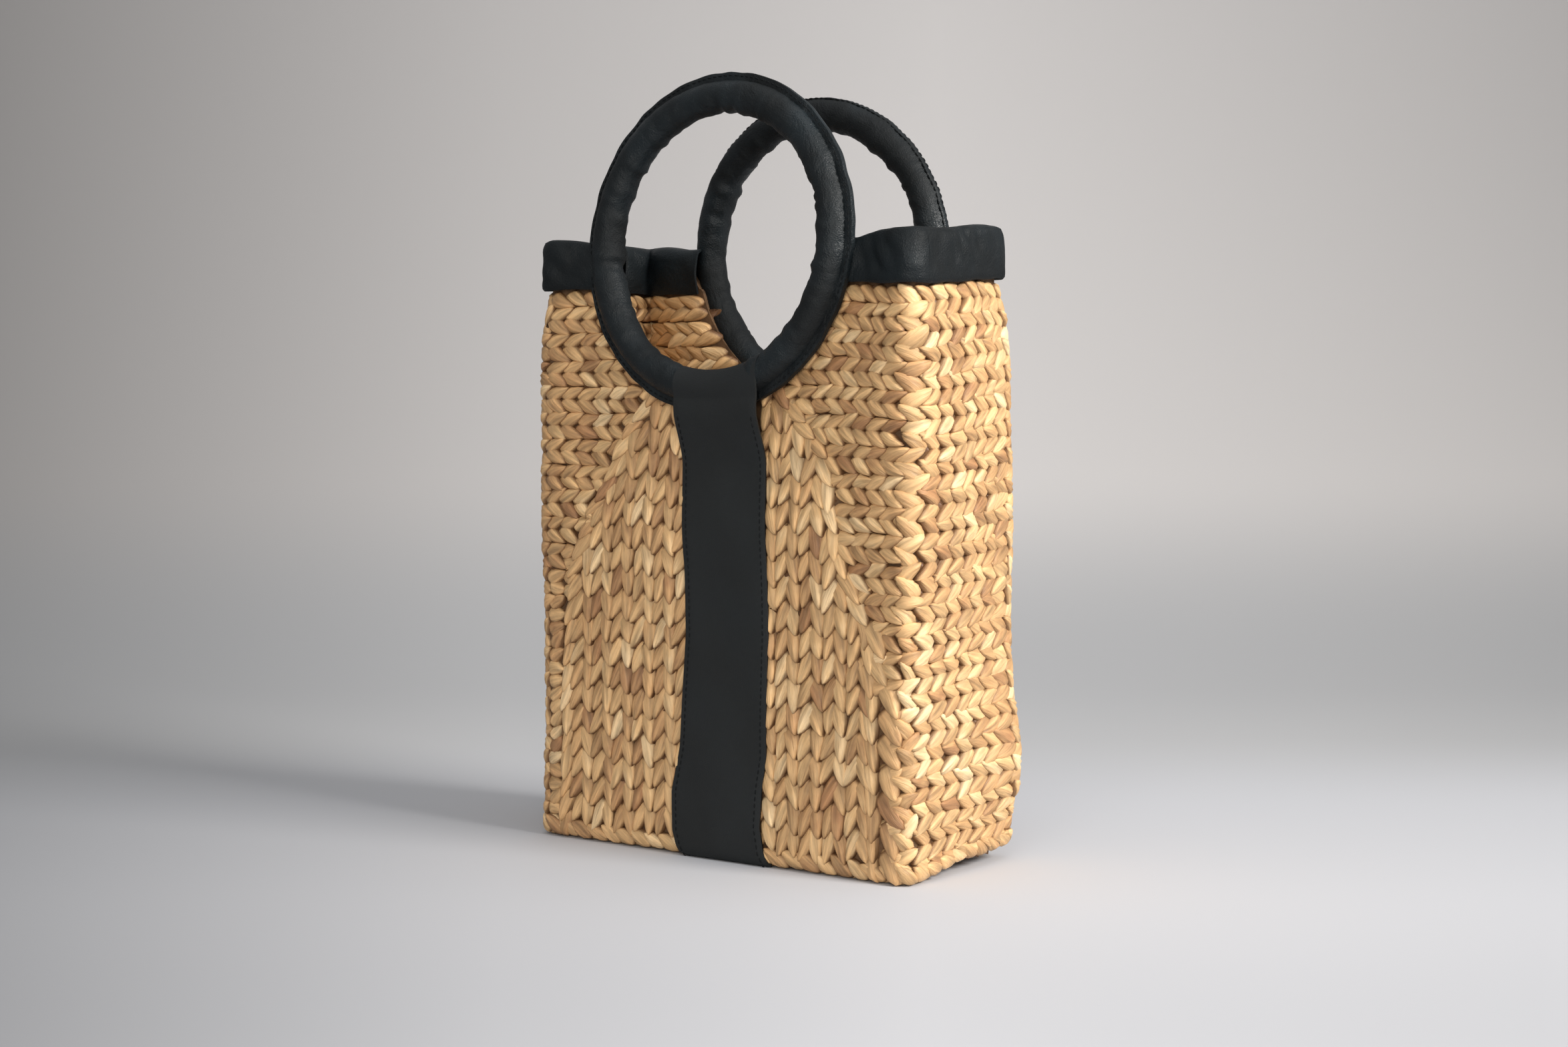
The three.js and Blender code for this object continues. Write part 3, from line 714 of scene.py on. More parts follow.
# %% Under the foot and inside
FOOT_STITCHES = 66
for n in range(FOOT_STITCHES):
    stitch_at("turned", n * ROUND / FOOT_STITCHES, 0, slant=-38, w=6.0, size=1.08, proud=0.9, rough=0.1)
    stitch_at("turned", (n + 0.5) * ROUND / FOOT_STITCHES, 0, slant=30, w=-2.5)
    stitch_at("turned", n * ROUND / FOOT_STITCHES, 0, slant=-30, w=-8.5)


def floor_plane(x, y, h):
    return np.stack([x, y, 0.4 - np.asarray(h)], -1)


def inner_floor(x, y, h):
    return np.stack([x, y, WALL + np.asarray(h)], -1)


PITCH, FLOOR_ROW = 9.2, 6.4
INNER_WIDER, INNER_DEEPER = 1.07, 1.28
for row in range(9):
    slant = 32 if row % 2 else -32
    for n in range(21):
        x, y = (n - 10) * PITCH, (row - 4) * FLOOR_ROW
        stitch_at("turned", x, 0, slant=slant, w=y, group="base_weave", surface=floor_plane)
        x, y = x * INNER_WIDER, y * INNER_DEEPER
        stitch_at("turned", x, 0, slant=slant, w=y, group="base_weave", surface=inner_floor)


INSIDE_END, BESIDE_RING = 109, 3.4


def inside_row(kind, z):
    """One level row inside, which starts beside the ring where it is as high as the ring."""
    cut = NOTCH**2 - (z - RING_HEIGHT) ** 2
    for centre, end, sign in PANELS:
        for hand in (-1, 1):
            x = RING_X[-sign] + hand * (math.sqrt(cut) + BESIDE_RING) if cut > 0 else hand * PITCH / 2
            while abs(x) < INSIDE_END:
                stitch_at(kind, centre + sign * x, z, inside=True, size=0.98)
                x += hand * PITCH
    for side in (QUARTER, 3 * QUARTER):
        for n in range(9):
            stitch_at(kind, side + (n - 4) * PITCH, z, inside=True, size=0.98)


for step in range(40):
    inside_row("panel_down" if step % 2 else "panel_up", TOP_ROW + 1.5 - step * ROW_PAIR / 2)
print("all stitches:", sum(g.count for g in groups.values()) // len(stitch_points))


# %% [markdown]
# ## The stakes behind the stitches
# Twined stems pass round upright stakes, which only show as dark gaps. A thin brown wall stands
# for them; the stakes are real, but their dark brown is painted shade, the shade deep in the gaps
# between the stitches. It is one closed patch for each piece of the weave, and it follows the ring's notch.

# %% Wall patches
OUTER_STAKE, INNER_STAKE = -2.1, -6.2


def patch(name, us, w_low, w_top, rows, surface=shell, depths=(OUTER_STAKE, INNER_STAKE)):
    """A closed, thin patch of wall between w_low and w_top, with a column of faces for each step of us."""
    us = np.asarray(us, float)
    low = np.broadcast_to(w_low, us.shape)
    top = np.broadcast_to(w_top, us.shape)
    w = low + (top - low) * np.linspace(0, 1, rows + 1)[:, None]
    u = np.broadcast_to(us, w.shape)
    points = np.vstack([surface(u, w, np.full(w.shape, depth)).reshape(-1, 3) for depth in depths])
    columns, count = len(us), w.size
    faces = []
    for r in range(rows):
        for c in range(columns - 1):
            i = r * columns + c
            faces.append((i, i + 1, i + columns + 1, i + columns))
            faces.append((count + i, count + i + columns, count + i + columns + 1, count + i + 1))
    grid = np.arange(count).reshape(rows + 1, columns)
    edge = np.concatenate([grid[0], grid[1:, -1], grid[-1, -2::-1], grid[-2:0:-1, 0]]).tolist()
    faces += [(b, a, count + a, count + b) for a, b in zip(edge, edge[1:] + edge[:1])]
    empty = np.zeros(len(points))
    fibre = np.stack([points[:, 0] / 9, points[:, 2] / 9, empty], -1)
    groups.setdefault(name, Basketry()).add(points, faces, fibre, empty + 0.3, empty, 1)


def under_floor(x, y, h):
    return np.stack([x, y, -h], -1)


WEAVE_TOP = float(up_the_wall(297))
NOTCH_TOP = float(up_the_wall(279.0))
FLEX = float(up_the_wall(FLEX_HEIGHT))
STAKE_NOTCH = NOTCH - 5.0
side_us = np.linspace(CORNER_END, 2 * QUARTER - CORNER_END, 9)
corner_us = np.linspace(SHOULDER_FROM, CORNER_END, 12)
front_us = np.linspace(-CORNER_END, CORNER_END, 49)
notch_angles = np.linspace(-math.pi / 2, math.pi / 2, 41)
for centre, end, sign in PANELS:
    patch(end + "_weave", centre + front_us, 0, FLEX, 30)
    middle = sign * RING_X[-sign]
    arc_us = middle + STAKE_NOTCH * np.sin(notch_angles)
    notch_us = np.concatenate([[-SHOULDER_FROM], arc_us, [SHOULDER_FROM]])
    drop = np.sqrt(np.maximum(0, STAKE_NOTCH**2 - (notch_us - middle) ** 2))
    notch_top = np.minimum(up_the_wall(RING_HEIGHT - drop), WEAVE_TOP)
    notch_top[1:-1] = np.minimum(notch_top[1:-1], NOTCH_TOP)
    patch(end + "_top_weave", centre + notch_us, FLEX, notch_top, 12)
    for hand, name in HANDS:
        us = centre + sign * hand * corner_us
        patch(f"{end}_{name}_shoulder_weave", np.sort(us), FLEX, WEAVE_TOP, 12)
patch("right_side_weave", side_us, 0, WEAVE_TOP, 40)
patch("left_side_weave", side_us + 2 * QUARTER, 0, WEAVE_TOP, 40)
patch("base_weave", np.linspace(-102, 102, 12), -34.0, 34.0, 6, under_floor, (-3.0, -6.0))
print("pieces of weave:", sorted(groups))

# %% [markdown]
# ## Straw
# Dried water hyacinth is a golden tan with fine fibres along each stem, a satin sheen, and paler and
# greener stems here and there. A red-brown shade is painted where stems dive under each other: low
# on each stitch and towards its root. The fibres follow the notes that every stitch carries, so they
# meet at its ends as real ones do.

# %% Fibre group and straw materials
STRAW = [
    (0.0, (0.37, 0.19, 0.085)), (0.3, (0.53, 0.31, 0.14)),
    (0.7, (0.67, 0.43, 0.205)), (1.0, (0.79, 0.57, 0.32)),
]
# painted shade: the red-brown that stitches are painted where they dive under each other
CREASE_SHADE_COLOUR = (0.15, 0.068, 0.026)
stem_fibre, inp, out = new_group(
    "stem_fibre", {"Fibre": ("Vector", None), "Tone": ("Float", 0.5), "Crease Shade": ("Float", 1.0)}
)
fine, broad, long = (
    stretched(stem_fibre, inp["Fibre"], by) for by in ((0.5, 8.5, 3.1), (0.7, 2.2, 1.7), (0.3, 3.6, 2.3))
)
streak = noise(stem_fibre, fine, Scale=1.6, Detail=4.0, Roughness=0.62)
patchy = noise(stem_fibre, broad, Scale=1.3, Detail=2.0)
fold = noise(stem_fibre, long, Scale=1.3, Detail=1.0)
wander = math_node(stem_fibre, "MULTIPLY_ADD", patchy, 0.7, -0.35)
shade = math_node(stem_fibre, "ADD", inp["Tone"], wander, clamp=True)
relief = math_node(stem_fibre, "MULTIPLY_ADD", fold, 1.6, streak)
lines = as_grey(stem_fibre, math_node(stem_fibre, "MULTIPLY_ADD", relief, 0.95, -0.18))
lined = mix_colour(stem_fibre, 1.0, ramp(stem_fibre, shade, STRAW), lines, "MULTIPLY")
# painted shade: the stitch is darkened to the red-brown where it lies low or near its root
fill(stem_fibre, out, {
    "Colour": mix_colour(stem_fibre, rise(stem_fibre, inp["Crease Shade"], 0.05, 0.75), CREASE_SHADE_COLOUR, lined),
    "Roughness": math_node(stem_fibre, "MULTIPLY_ADD", streak, 0.25, 0.36),
    "Height": relief,
})

stem_straw, tree, shader = new_material("stem_straw")
fibre, tone, deep = (
    add_node(tree, "ShaderNodeAttribute", attribute_name=note).outputs for note in ("fibre", "tone", "deep")
)
notes = {"Fibre": fibre["Vector"], "Tone": tone["Fac"], "Crease Shade": deep["Fac"]}
stem = add_node(tree, "ShaderNodeGroup", notes, node_tree=stem_fibre).outputs
fill(tree, shader, {
    "Base Color": stem["Colour"], "Roughness": stem["Roughness"], "Specular IOR Level": 0.45,
    "Normal": bump_from(tree, stem["Height"], 0.8, 0.0009),
})

# painted shade: the stakes are painted a dark brown, the shade deep in the gaps between stitches
stake_straw_in_shade, tree, shader = new_material("stake_straw_in_shade")
blotch = noise(tree, object_place(tree), Scale=260.0, Detail=2.0)
browns = ramp(tree, blotch, [(0.3, (0.07, 0.035, 0.015)), (0.7, (0.16, 0.085, 0.036))])
fill(tree, shader, {"Base Color": browns, "Roughness": 0.8})


# %% Turn the collected stitches into pieces
def weave_piece(name, work):
    piece = mesh_piece(name, work.points, work.faces, [d == 0 for d in work.dark], stem_straw, stake_straw_in_shade)
    piece.data.polygons.foreach_set("material_index", work.dark)
    notes = (
        ("fibre", "FLOAT_VECTOR", "vector", np.vstack(work.fibre)),
        ("tone", "FLOAT", "value", np.concatenate(work.tone)),
        ("deep", "FLOAT", "value", np.concatenate(work.deep)),
    )
    for label, kind, field, values in notes:
        note = piece.data.attributes.new(label, kind, "POINT")
        note.data.foreach_set(field, values.ravel().astype(np.float32))
    piece.data.update()
    return piece


def settle(piece, name):
    """Say which body a piece of the wall or rim moves with."""
    end = "front" if name.startswith("front") else "back"
    if "shoulder" in name or "stretch" in name:
        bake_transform(piece)
    elif "_top" in name:
        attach(piece, end + "_handle")
    else:
        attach(piece, "bag_body")


for name, work in sorted(groups.items()):
    piece = weave_piece(name, work)
    settle(piece, name)
    if "_top" in name or "shoulder" in name:
        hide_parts(name.split("_")[0] + "_yoke_weave", "woven_body")
    else:
        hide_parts("woven_body")
    print(name, len(piece.data.polygons), "faces")

# %% [markdown]
# ## Leather
# All leather is one near-black skin with a blue-green cast. The rings are glossy where hands have
# rubbed them, the bands are satin, and the strap is matt. One group gives the fine grain and the
# larger creases, and each material uses it at its own strength.

# %% Grain group and leather materials
leather_grain, inp, out = new_group(
    "leather_grain",
    {"Place": ("Vector", None), "Grain": ("Float", 900.0), "Crease": ("Float", 0.5), "Wear": ("Float", 0.5)},
)
cells = {"Vector": inp["Place"], "Scale": inp["Grain"]}
pebble = add_node(leather_grain, "ShaderNodeTexVoronoi", cells, feature="DISTANCE_TO_EDGE")
pebble_height = math_node(leather_grain, "MULTIPLY", pebble.outputs["Distance"], 1.2, clamp=True)
folds = noise(leather_grain, inp["Place"], Scale=70.0, Detail=4.0, Roughness=0.6, Distortion=0.6)
fold_height = math_node(leather_grain, "MULTIPLY", folds, inp["Crease"])
rubbed = noise(leather_grain, inp["Place"], Scale=28.0, Detail=3.0)
limits = {"Value": rubbed, "From Min": 0.42, "From Max": 0.68}
rub = add_node(leather_grain, "ShaderNodeMapRange", limits).outputs[0]
rub_amount = math_node(leather_grain, "MULTIPLY", rub, inp["Wear"], clamp=True)
fill(leather_grain, out, {
    "Colour": mix_colour(leather_grain, rub_amount, (0.0030, 0.0047, 0.0056), (0.009, 0.014, 0.017)),
    "Roughness": math_node(leather_grain, "MULTIPLY_ADD", rub_amount, -0.28, 0.66),
    "Height": math_node(leather_grain, "MULTIPLY_ADD", pebble_height, 0.25, fold_height),
})


def leather_material(name, crease, wear, strength, specular, pale=0.0):
    material, tree, shader = new_material(name)
    inputs = {"Place": object_place(tree), "Crease": crease, "Wear": wear}
    grain = add_node(tree, "ShaderNodeGroup", inputs, node_tree=leather_grain).outputs
    fill(tree, shader, {
        "Base Color": mix_colour(tree, pale, grain["Colour"], (0.06, 0.062, 0.062)),
        "Roughness": grain["Roughness"],
        "Specular IOR Level": specular,
        "Normal": bump_from(tree, grain["Height"], strength, 0.001),
    })
    return material


ring_leather = leather_material("ring_leather", 1.8, 1.0, 0.9, 0.29)
band_leather = leather_material("band_leather", 1.5, 0.7, 0.9, 0.24)
strap_leather = leather_material("strap_leather", 0.6, 0.3, 0.5, 0.22, 0.22)

# %% Thread and cane
black_thread, tree, shader = new_material("black_thread")
twist = {"Vector": object_place(tree), "Scale": 900.0, "Distortion": 1.5}
ply = add_node(tree, "ShaderNodeTexWave", twist, bands_direction="DIAGONAL").outputs["Fac"]
fill(tree, shader, {
    "Base Color": ramp(tree, ply, [(0.2, (0.004, 0.005, 0.006)), (0.8, (0.009, 0.011, 0.012))]),
    "Roughness": 0.7,
    "Specular IOR Level": 0.15,
    "Normal": bump_from(tree, ply, 0.5, 0.0002),
})

bent_cane, tree, shader = new_material("bent_cane")
streaks = noise(tree, object_place(tree), Scale=140.0, Detail=5.0, Distortion=1.0)
tans = ramp(tree, streaks, [(0.3, (0.36, 0.21, 0.09)), (0.7, (0.52, 0.34, 0.16))])
fill(tree, shader, {"Base Color": tans, "Roughness": 0.5})

# %% [markdown]
# ## Folding a strip of leather
# Bands and strap are flat strips before they are sewn on. A grid is laid out flat, then each of
# its points is carried to its place by a rule, and Solidify gives the strip its thickness.

# %% A strip that is folded by a rule
FOLD_ANGLE, LEATHER = math.radians(50), 1.3


def folded_strip(name, long_steps, cross_steps, rule, material):
    """rule takes two numbers from 0 to 1, along and across, and gives points in millimetres."""
    steps = {"x_subdivisions": long_steps, "y_subdivisions": cross_steps}
    strip = add_shape(name, bpy.ops.mesh.primitive_grid_add, size=2, **steps)
    flat = points_of(strip)
    folded = rule((flat[:, 0] + 1) / 2, (flat[:, 1] + 1) / 2)
    strip.data.vertices.foreach_set("co", (folded * MM).ravel())
    strip.data.update()
    hide = strip.modifiers.new("hide", "SOLIDIFY")
    hide.thickness = LEATHER * MM
    hide.offset = -1
    bpy.ops.object.modifier_apply(modifier="hide")
    bpy.ops.object.shade_smooth_by_angle(angle=FOLD_ANGLE)
    strip.data.materials.append(material)
    return strip


# %% [markdown]
# ## The rim bands
# Each band is folded over the weave's top edge: down the outside, over, and down the inside. Its
# top is puffy, it dips where it meets the ring, and it wanders a little, as soft leather does.

# %% Fold the rim bands
# the band's section: how far it stands out from the wall, and its height
BAND_SECTION = [
    (1.2, 277.0), (1.9, 277.2), (2.1, 279.5), (2.1, 285.0), (1.9, 291.0), (1.5, 296.4), (0.7, 299.2),
    (-1.2, 300.0), (-4.5, 300.3), (-7.4, 300.0), (-9.6, 298.8), (-10.6, 296.0), (-10.9, 291.0),
    (-10.8, 284.0), (-10.4, 279.0), (-9.8, 277.0),
]
profile_h, profile_z = np.array(BAND_SECTION).T
profile_run = np.concatenate([[0], np.cumsum(np.hypot(np.diff(profile_h), np.diff(profile_z)))])
profile_run /= profile_run[-1]
RING_EDGE, BEHIND_RING = 77.4, -8.0
# how far the band's top dips beside its ring
RING_DIP = {("front", 1): 4.4, ("front", -1): 2.0, ("back", 1): 2.0, ("back", -1): 2.0}
band_rules = {}


def band_rule(u_start, u_end, dip=0.0, ring_x=0.0, start_reach=0.0, end_reach=0.0):
    """A band from u_start to u_end. Its top dips by dip at the ring; inside, its ends reach behind it."""
    def rule(along, across):
        h = np.interp(across, profile_run, profile_h)
        z = np.interp(across, profile_run, profile_z)
        behind = smooth((-h - 3) / 4)
        u = (u_start + start_reach * behind) * (1 - along) + (u_end + end_reach * behind) * along
        x = np.abs(skin(u, up_the_wall(290.0))[:, 0] - ring_x)
        high = smooth((z - 280) / 20)
        z = z - dip * np.exp(-(((x - 76.5) / 11) ** 2)) * high
        z = z + 0.35 * np.sin(u / 9.0 + 1.3) * high + 0.25 * np.sin(u / 4.1) * (1 - high)
        puff = 0.4 * np.sin(u / 6.3 + z / 7) + 0.25 * np.sin(u / 2.9 - z / 5 + 1)
        puff = puff + 0.42 * np.sin(u / 1.5 + z / 3.1 + 2 * np.sin(u / 11)) * np.sin(u / 17 + 2) ** 2
        puff = puff + 0.3 * np.sin(z / 1.9 + 1.6 * np.sin(u / 8) + u / 13) * np.sin(u / 21 + 0.4) ** 2
        return shell(u, up_the_wall(z), h + puff * smooth((z - 278) / 6))

    return rule


def band(name, steps, *limits):
    band_rules[name] = band_rule(*limits)
    strip = folded_strip(name, steps, 44, band_rules[name], band_leather)
    settle(strip, name)
    return strip


for middle, name in ((QUARTER, "right"), (3 * QUARTER, "left")):
    half = QUARTER - CORNER_END
    piece = band(name + "_band_side", 40, middle + half, middle - half)
    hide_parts(name + "_rim_band")
for centre, end, sign in PANELS:
    for hand, name in HANDS:
        ends = [centre + sign * (hand * RING_EDGE + RING_X[-sign]), centre + sign * hand * CORNER_END]
        reach = [BEHIND_RING * sign * hand, 0.0]
        if sign * hand > 0:
            ends.reverse()
            reach.reverse()
        piece = band(f"{end}_{name}_band_stretch", 44, *ends, RING_DIP[end, hand], RING_X[-sign], *reach)
        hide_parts(f"{end}_{name}_rim_band", name + "_rim_band")

# %% [markdown]
# ## The rings
# A ring is a cane hoop in a leather cover. The cover is one strip wrapped round the hoop, and its
# two edges are sewn together on the outside, which leaves a flat seam. On the inside the same
# strip has too much length, so it gathers in small puckers. A torus is the start; the seam is
# extruded from its outer faces, and the puckers are pressed in after that.

# %% Model the ring cover
RING_RADIUS, TUBE, CANE = 69.8, 8.0, 11.0
# gathers of the leather round the ring
KNOTS = 88
# the photo's front and back rings differ a little: the seam's edge, their height, how far out they
# stand, and how they are turned
SEAM_RADIUS = {-1: 81.5, 1: 78.4}
RING_UP = {-1: 1.4, 1: -1.0}
RING_OUT = {-1: 1.0, 1: 0.5}
RING_SWING = {-1: math.radians(-1.05), 1: math.radians(-0.83)}


def stand_up(flat, front):
    """Carry points of a ring that lies flat to its place over the panel, leaning in."""
    x, y, z = flat[:, 0], front * flat[:, 1], flat[:, 2]
    swing = RING_SWING[front]
    x, y = x * math.cos(swing) - y * math.sin(swing), x * math.sin(swing) + y * math.cos(swing)
    y = y + front * (RING_DEPTH + RING_OUT[front] - RING_TURN_Y)
    z = z + RING_HEIGHT + RING_UP[front] - FLEX_HEIGHT
    lean_in = -front * LEAN
    y, z = y * math.cos(lean_in) + z * math.sin(lean_in), z * math.cos(lean_in) - y * math.sin(lean_in)
    return np.stack([x + RING_X[front], y + front * RING_TURN_Y, z + FLEX_HEIGHT], -1)


def lying_ring(name, steps, steps_round, thickness):
    return add_shape(
        name, bpy.ops.mesh.primitive_torus_add, major_segments=steps, minor_segments=steps_round,
        major_radius=RING_RADIUS * MM, minor_radius=thickness * MM,
    )


def ring_places(ring):
    """For each point of a lying ring: its turn, how far out from the tube's middle, and its height."""
    points = points_of(ring) / MM
    reach = np.hypot(points[:, 0], points[:, 1]) - RING_RADIUS
    return np.arctan2(points[:, 1], points[:, 0]), reach, points[:, 2]


def finish_ring(ring, front, turn_at, reach, out, material):
    """Move the points of a lying ring to their places over the panel."""
    radius = RING_RADIUS + reach
    flat = np.stack([radius * np.cos(turn_at), out, radius * np.sin(turn_at)], -1)
    ring.data.vertices.foreach_set("co", (stand_up(flat, front) * MM).ravel())
    bpy.ops.object.mode_set(mode="EDIT")
    bpy.ops.mesh.select_all(action="SELECT")
    bpy.ops.mesh.normals_make_consistent(inside=False)
    bpy.ops.object.mode_set(mode="OBJECT")
    bpy.ops.object.shade_smooth_by_angle(angle=FOLD_ANGLE)
    ring.data.materials.append(material)
    return ring


def seam_wave(turn_at):
    return 0.25 * np.sin(turn_at * 21) + 0.2 * np.sin(turn_at * 34 + 1)


def puckers(turn_at, around, on_tube, seed):
    """How far the leather swells: gathers and creases, mostly on the inside, and soft long waves."""
    inward = np.clip(0.35 - np.cos(around), 0, 1)
    roll = np.random.default_rng(seed)
    pleat = roll.normal(size=KNOTS)
    ridge = roll.normal(size=(KNOTS, 2))
    where = (turn_at / (2 * math.pi) + 0.5) * KNOTS + 0.9 * np.sin(around) * ridge[:, 0].mean()
    low = np.floor(where).astype(int)
    t = smooth(where - low)
    gather = pleat[low % KNOTS] * (1 - t) + pleat[(low + 1) % KNOTS] * t
    slide = ridge[low % KNOTS, 1] * (1 - t) + ridge[(low + 1) % KNOTS, 1] * t
    crease = np.exp(-(((where - low - 0.5) / 0.22) ** 2)) * np.clip(slide, 0, 2)
    wide = np.sin(3 * turn_at + roll.uniform(0, 6)) + np.sin(5 * turn_at + roll.uniform(0, 6))
    fine = np.sin(turn_at * 61 + 2.2 * np.sin(around + 1)) * np.sin(turn_at * 13 + 4 * np.sin(around))
    swell = (0.42 * gather - 0.45 * crease) * (0.2 + 0.8 * inward) + 0.15 * wide + 0.14 * fine
    return np.where(on_tube, swell, 0.1 * gather)


def ring_cover(name, front):
    ring = lying_ring(name, 320, 30, TUBE)
    edge = RING_RADIUS + TUBE
    outermost = np.hypot(*points_of(ring)[:, :2].T) > (edge - TUBE * 0.03) * MM
    pick_points(ring, outermost.tolist())
    for radius, thin in ((edge + (SEAM_RADIUS[front] - edge) / 2, 1.0), (SEAM_RADIUS[front], 0.85)):
        bpy.ops.mesh.extrude_region_move()
        bpy.ops.transform.resize(value=(radius / edge, radius / edge, thin), center_override=(0, 0, 0))
        edge = radius
    bpy.ops.object.mode_set(mode="OBJECT")
    turn_at, reach, out = ring_places(ring)
    on_tube = np.hypot(reach, out) < TUBE * 1.03
    grow = 1 + puckers(turn_at, np.arctan2(out, reach), on_tube, 7 + front) / TUBE
    out = out * grow + np.where(on_tube, 0, seam_wave(turn_at))
    return finish_ring(ring, front, turn_at, reach * grow, out, ring_leather)


# %% Bend the cane hoop inside
def cane_hoop(name, front):
    """A cane of 11 mm with a joint every 90 mm or so, bent round inside the cover."""
    hoop = lying_ring(name, 180, 16, CANE / 2)
    turn_at, reach, out = ring_places(hoop)
    grow = 1 + 0.1 * np.exp(-((np.sin(2.5 * turn_at) / 0.06) ** 2))
    return finish_ring(hoop, front, turn_at, reach * grow, out * grow, bent_cane)


for front, end in ENDS:
    ring = ring_cover(end + "_ring_leather", front)
    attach(ring, end + "_handle")
    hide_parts(end + "_ring_cover")
    hoop = cane_hoop(end + "_ring_hoop", front)
    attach(hoop, end + "_handle")
    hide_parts(end + "_ring_core")
    print(ring.name, len(ring.data.polygons), "faces")

# %% [markdown]
# ## The strap
# One wide strip runs from ring to ring under the bag. At each end it folds over the ring's foot
# and a tail of it is sewn down inside. Its edges wander by a few millimetres, as in the photo.

# %% Fold the strap
# the strap's two edges: height, and place across the panel
STRAP_LEFT = [
    (240, -19.5), (219, -20), (188, -20), (140, -16), (108, -15), (52, -19.5), (31, -24), (12, -24),
    (4, -21.5), (0, -17.5), (-40, -18),
]
STRAP_RIGHT = [
    (240, 29.5), (219, 29.5), (188, 30), (140, 33.5), (108, 35), (52, 33.4), (37, 30.8), (18, 29.2),
    (6, 31.3), (0, 35), (-40, 32),
]
FOLD_RADIUS, STAND_OFF = 8.9, 8.85
STRAP_WIDTH, TAIL = 50, 28
UNDER_BAG, UNDER_HEIGHT = -34.5, -20


def strap_rule(front):
    """The strap from the middle of the base up the panel and over the ring's foot, with its tail."""
    sign = -front
    path_w = np.linspace(UNDER_BAG, float(up_the_wall(RING_HEIGHT - RING_RADIUS - 6)), 90)
    path_z = [float(skin(0, w)[2]) if w > 0 else UNDER_HEIGHT for w in path_w]
    path_h = 2.2 + smooth((path_w - float(up_the_wall(188))) / 30) * STAND_OFF
    swing = np.linspace(math.radians(-35), math.radians(180), 22)
    arc_y = RING_DEPTH + RING_OUT[front] + FOLD_RADIUS * np.cos(swing)
    arc_z = RING_HEIGHT + RING_UP[front] - RING_RADIUS + FOLD_RADIUS * np.sin(swing)
    tail = np.linspace(2, TAIL, 10)
    wall_run = path_w - path_w[0]
    wall_end = wall_run[-1]
    arc_run = wall_end + 3 + FOLD_RADIUS * (swing - swing[0])
    run = np.concatenate([wall_run, arc_run, arc_run[-1] + tail])
    heights = np.concatenate([path_z, arc_z, arc_z[-1] - tail])

    def edge(line, height):
        return np.interp(-height, [-z for z, _ in line], [x for _, x in line])

    def rule(along, across):
        s = ((1 - along) if front < 0 else along) * run[-1]
        height = np.interp(s, run, heights)
        left, right = edge(STRAP_LEFT, height), edge(STRAP_RIGHT, height)
        x = left + (right - left) * across
        edge_drop = 0.8 * np.exp(-np.minimum(across, 1 - across) * STRAP_WIDTH / 1.6)
        h = np.interp(s, wall_run, path_h) - edge_drop
        h = h + 0.25 * np.sin(s / 19 + x / 30) + 0.12 * np.sin(s / 6 - x / 9)
        centre = 0 if front < 0 else 2 * QUARTER
        wall = shell(centre + sign * x, np.interp(s, wall_run, path_w), h)
        wall[:, 2] = np.maximum(wall[:, 2], 0.0)
        rounding = RING_RADIUS - np.sqrt(RING_RADIUS**2 - (x - RING_X[front]) ** 2)
        rounding = np.where(s > wall_end, rounding * smooth((s - wall_end) / 8), 0)
        y = np.interp(s, arc_run, arc_y) - RING_TURN_Y
        z = np.interp(s, arc_run, arc_z) + rounding - np.maximum(0, s - arc_run[-1]) - FLEX_HEIGHT
        lean_y = RING_TURN_Y + y * math.cos(LEAN) - z * math.sin(LEAN)
        lean_z = FLEX_HEIGHT + z * math.cos(LEAN) + y * math.sin(LEAN)
        loop = np.stack([x, front * lean_y, lean_z], -1)
        part = smooth((s - wall_end + 6) / 9)[:, None]
        return wall * (1 - part) + loop * part

    return rule


for front, end in ENDS:
    strap = folded_strip(end + "_strap", 200, 30, strap_rule(front), strap_leather)
    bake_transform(strap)
    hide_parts("centre_strap", end + "_strap_loop")
    print(strap.name, len(strap.data.polygons), "faces")

# %% [markdown]
# ## Sewing
# The bands, the strap and the rings' seams are sewn with black waxed thread. A continuous line would
# look drawn on, so each stitch is a short plump thread that dips into the leather at both ends. One
# is modelled, and copies of it follow the rule that laid the leather below them.

# %% One thread stitch
thread_points, thread_faces = taken_apart(lying_ball("thread_stitch", 8, 6))
STITCH_LENGTH, STITCH_PITCH, THREAD = 2.6, 3.3, 0.62


def sew(name, rows):
    """rows holds, for each stitch line, its middles, directions and outward directions."""
    points, faces = [], []
    a, b, h = thread_points.T
    for middles, ahead, outward in rows:
        for middle, along, out in zip(middles, ahead, outward):
            sideways = np.cross(out, along)
            where = np.outer(a * STITCH_LENGTH / 2, along) + np.outer(b * THREAD / 2, sideways)
            where += np.outer(h * THREAD / 2 - 0.35 * a * a, out) + middle
            faces += [tuple(i + len(points) * len(a) for i in face) for face in thread_faces]
            points.append(where)
    piece = mesh_piece(name, points, faces, [True] * len(faces), black_thread)
    print(name, len(points), "stitches")
    return piece


def unit(v):
    return v / np.linalg.norm(v, axis=-1, keepdims=True)


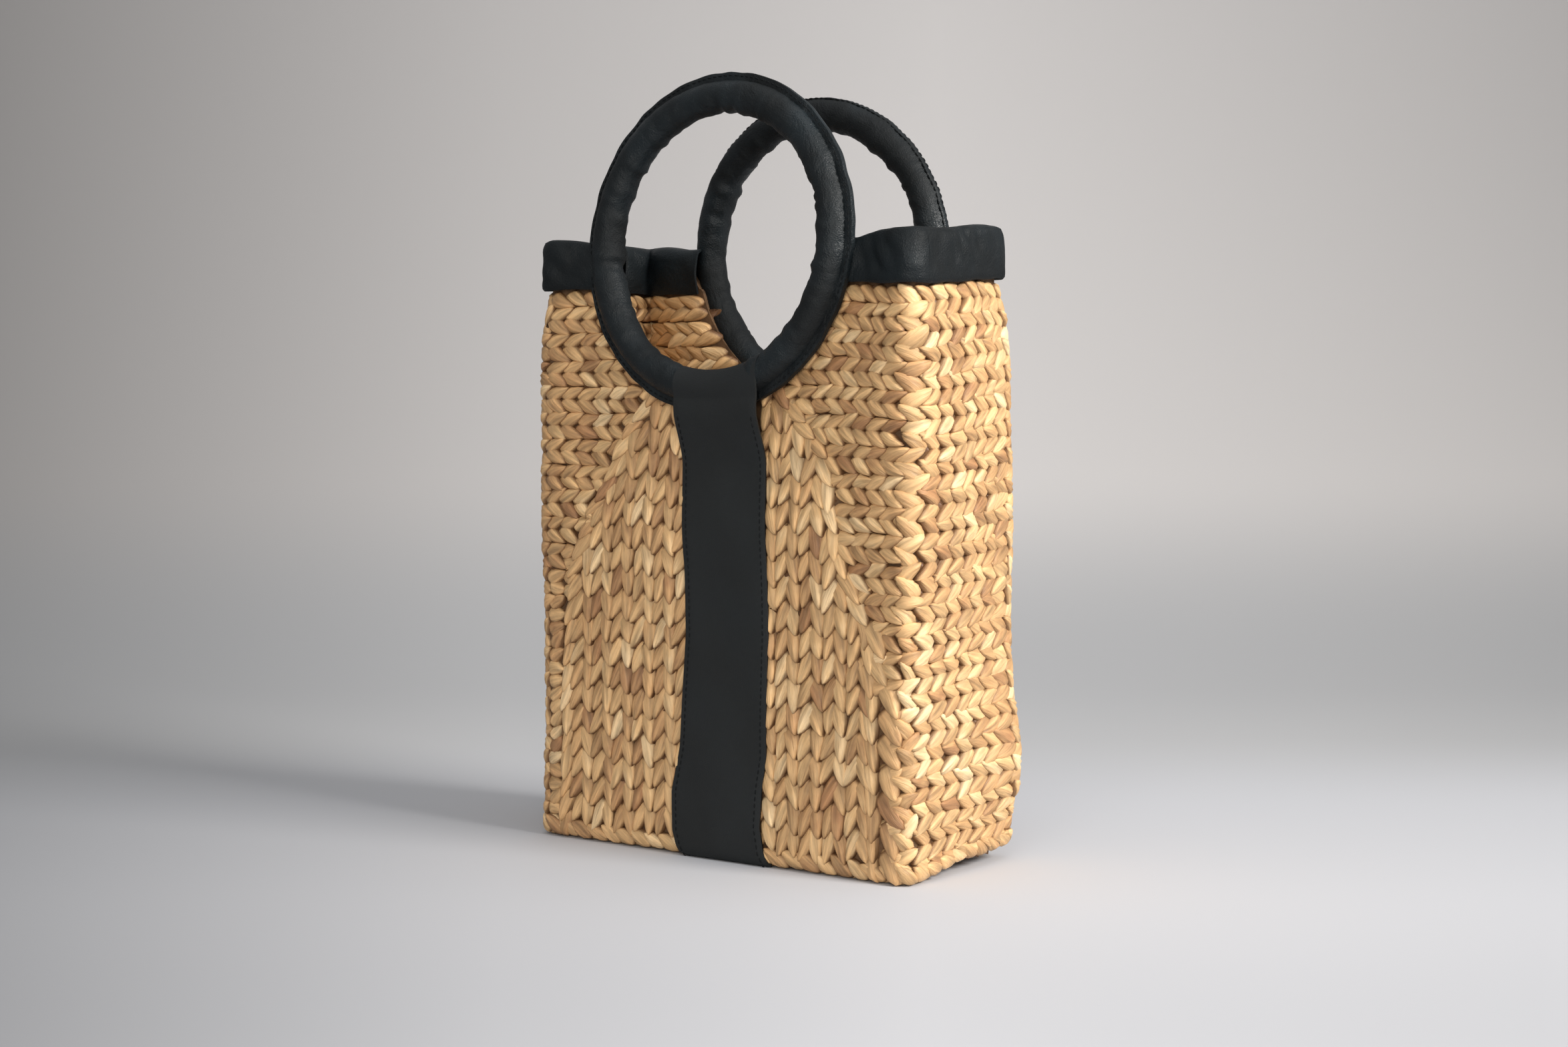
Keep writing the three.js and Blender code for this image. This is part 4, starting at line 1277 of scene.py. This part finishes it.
def line_on(rule, place, lift=0.15):
    """Stitches along the line place(t), t from 0 to 1, on leather laid by rule."""
    t = np.linspace(0, 1, 400)
    path = rule(*place(t))
    run = np.concatenate([[0], np.cumsum(np.linalg.norm(np.diff(path, axis=0), axis=1))])
    count = int(run[-1] / STITCH_PITCH)
    at = np.interp((np.arange(count) + 0.5) * STITCH_PITCH, run, t)
    along, across = place(at)
    middles = rule(along, across)
    ahead = unit(rule(along + 0.001, across) - rule(along - 0.001, across))
    sideways = unit(rule(along, across + 0.004) - rule(along, across - 0.004))
    outward = unit(np.cross(ahead, sideways))
    return middles + outward * lift, ahead, outward


# %% Sew the bands
# the sewing runs just above the band's lower edge outside
EDGE_LINE = float(profile_run[2]) + 0.006
for name, rule in band_rules.items():
    row = line_on(rule, lambda t: (0.004 + 0.992 * t, np.full(len(t), EDGE_LINE)))
    piece = sew(name + "_stitches", [row])
    settle(piece, name)
    words = name.split("_")
    if "side" in name:
        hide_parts(words[0] + "_rim_thread")
    else:
        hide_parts(f"{words[0]}_{words[1]}_rim_thread", words[1] + "_rim_thread")

# %% Sew the strap
for front, end in ENDS:
    for share, hand in ((0.055, "left"), (0.945, "right")):
        # from the foot of the bag to the foot of the ring
        low, high = (0.22, 0.96) if front < 0 else (0.04, 0.78)
        row = line_on(strap_rule(front), lambda t: (low + (high - low) * t, np.full(len(t), share)))
        piece = sew(f"{end}_{hand}_strap_stitches", [row])
        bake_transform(piece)
        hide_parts(f"{end}_{hand}_strap_thread")

# %% Sew the ring seams
SEAM_HALF_THICKNESS = 1.85
for front, end in ENDS:
    radius = RING_RADIUS + TUBE + 0.5 * (SEAM_RADIUS[front] - RING_RADIUS - TUBE)
    count = int(2 * math.pi * radius / STITCH_PITCH)
    angle = np.arange(count) * 2 * math.pi / count
    ahead = np.stack([-np.sin(angle), 0 * angle, np.cos(angle)], -1)
    rows = []
    for face in (-1, 1):
        out = face * SEAM_HALF_THICKNESS + seam_wave(angle)
        middles = np.stack([radius * np.cos(angle), out, radius * np.sin(angle)], -1)
        here = stand_up(middles, front)
        rows.append((
            here,
            unit(stand_up(middles + ahead, front) - here),
            unit(stand_up(middles + (0.0, face, 0.0), front) - here),
        ))
    piece = sew(end + "_ring_stitches", rows)
    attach(piece, end + "_handle")
    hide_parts(end + "_ring_thread")
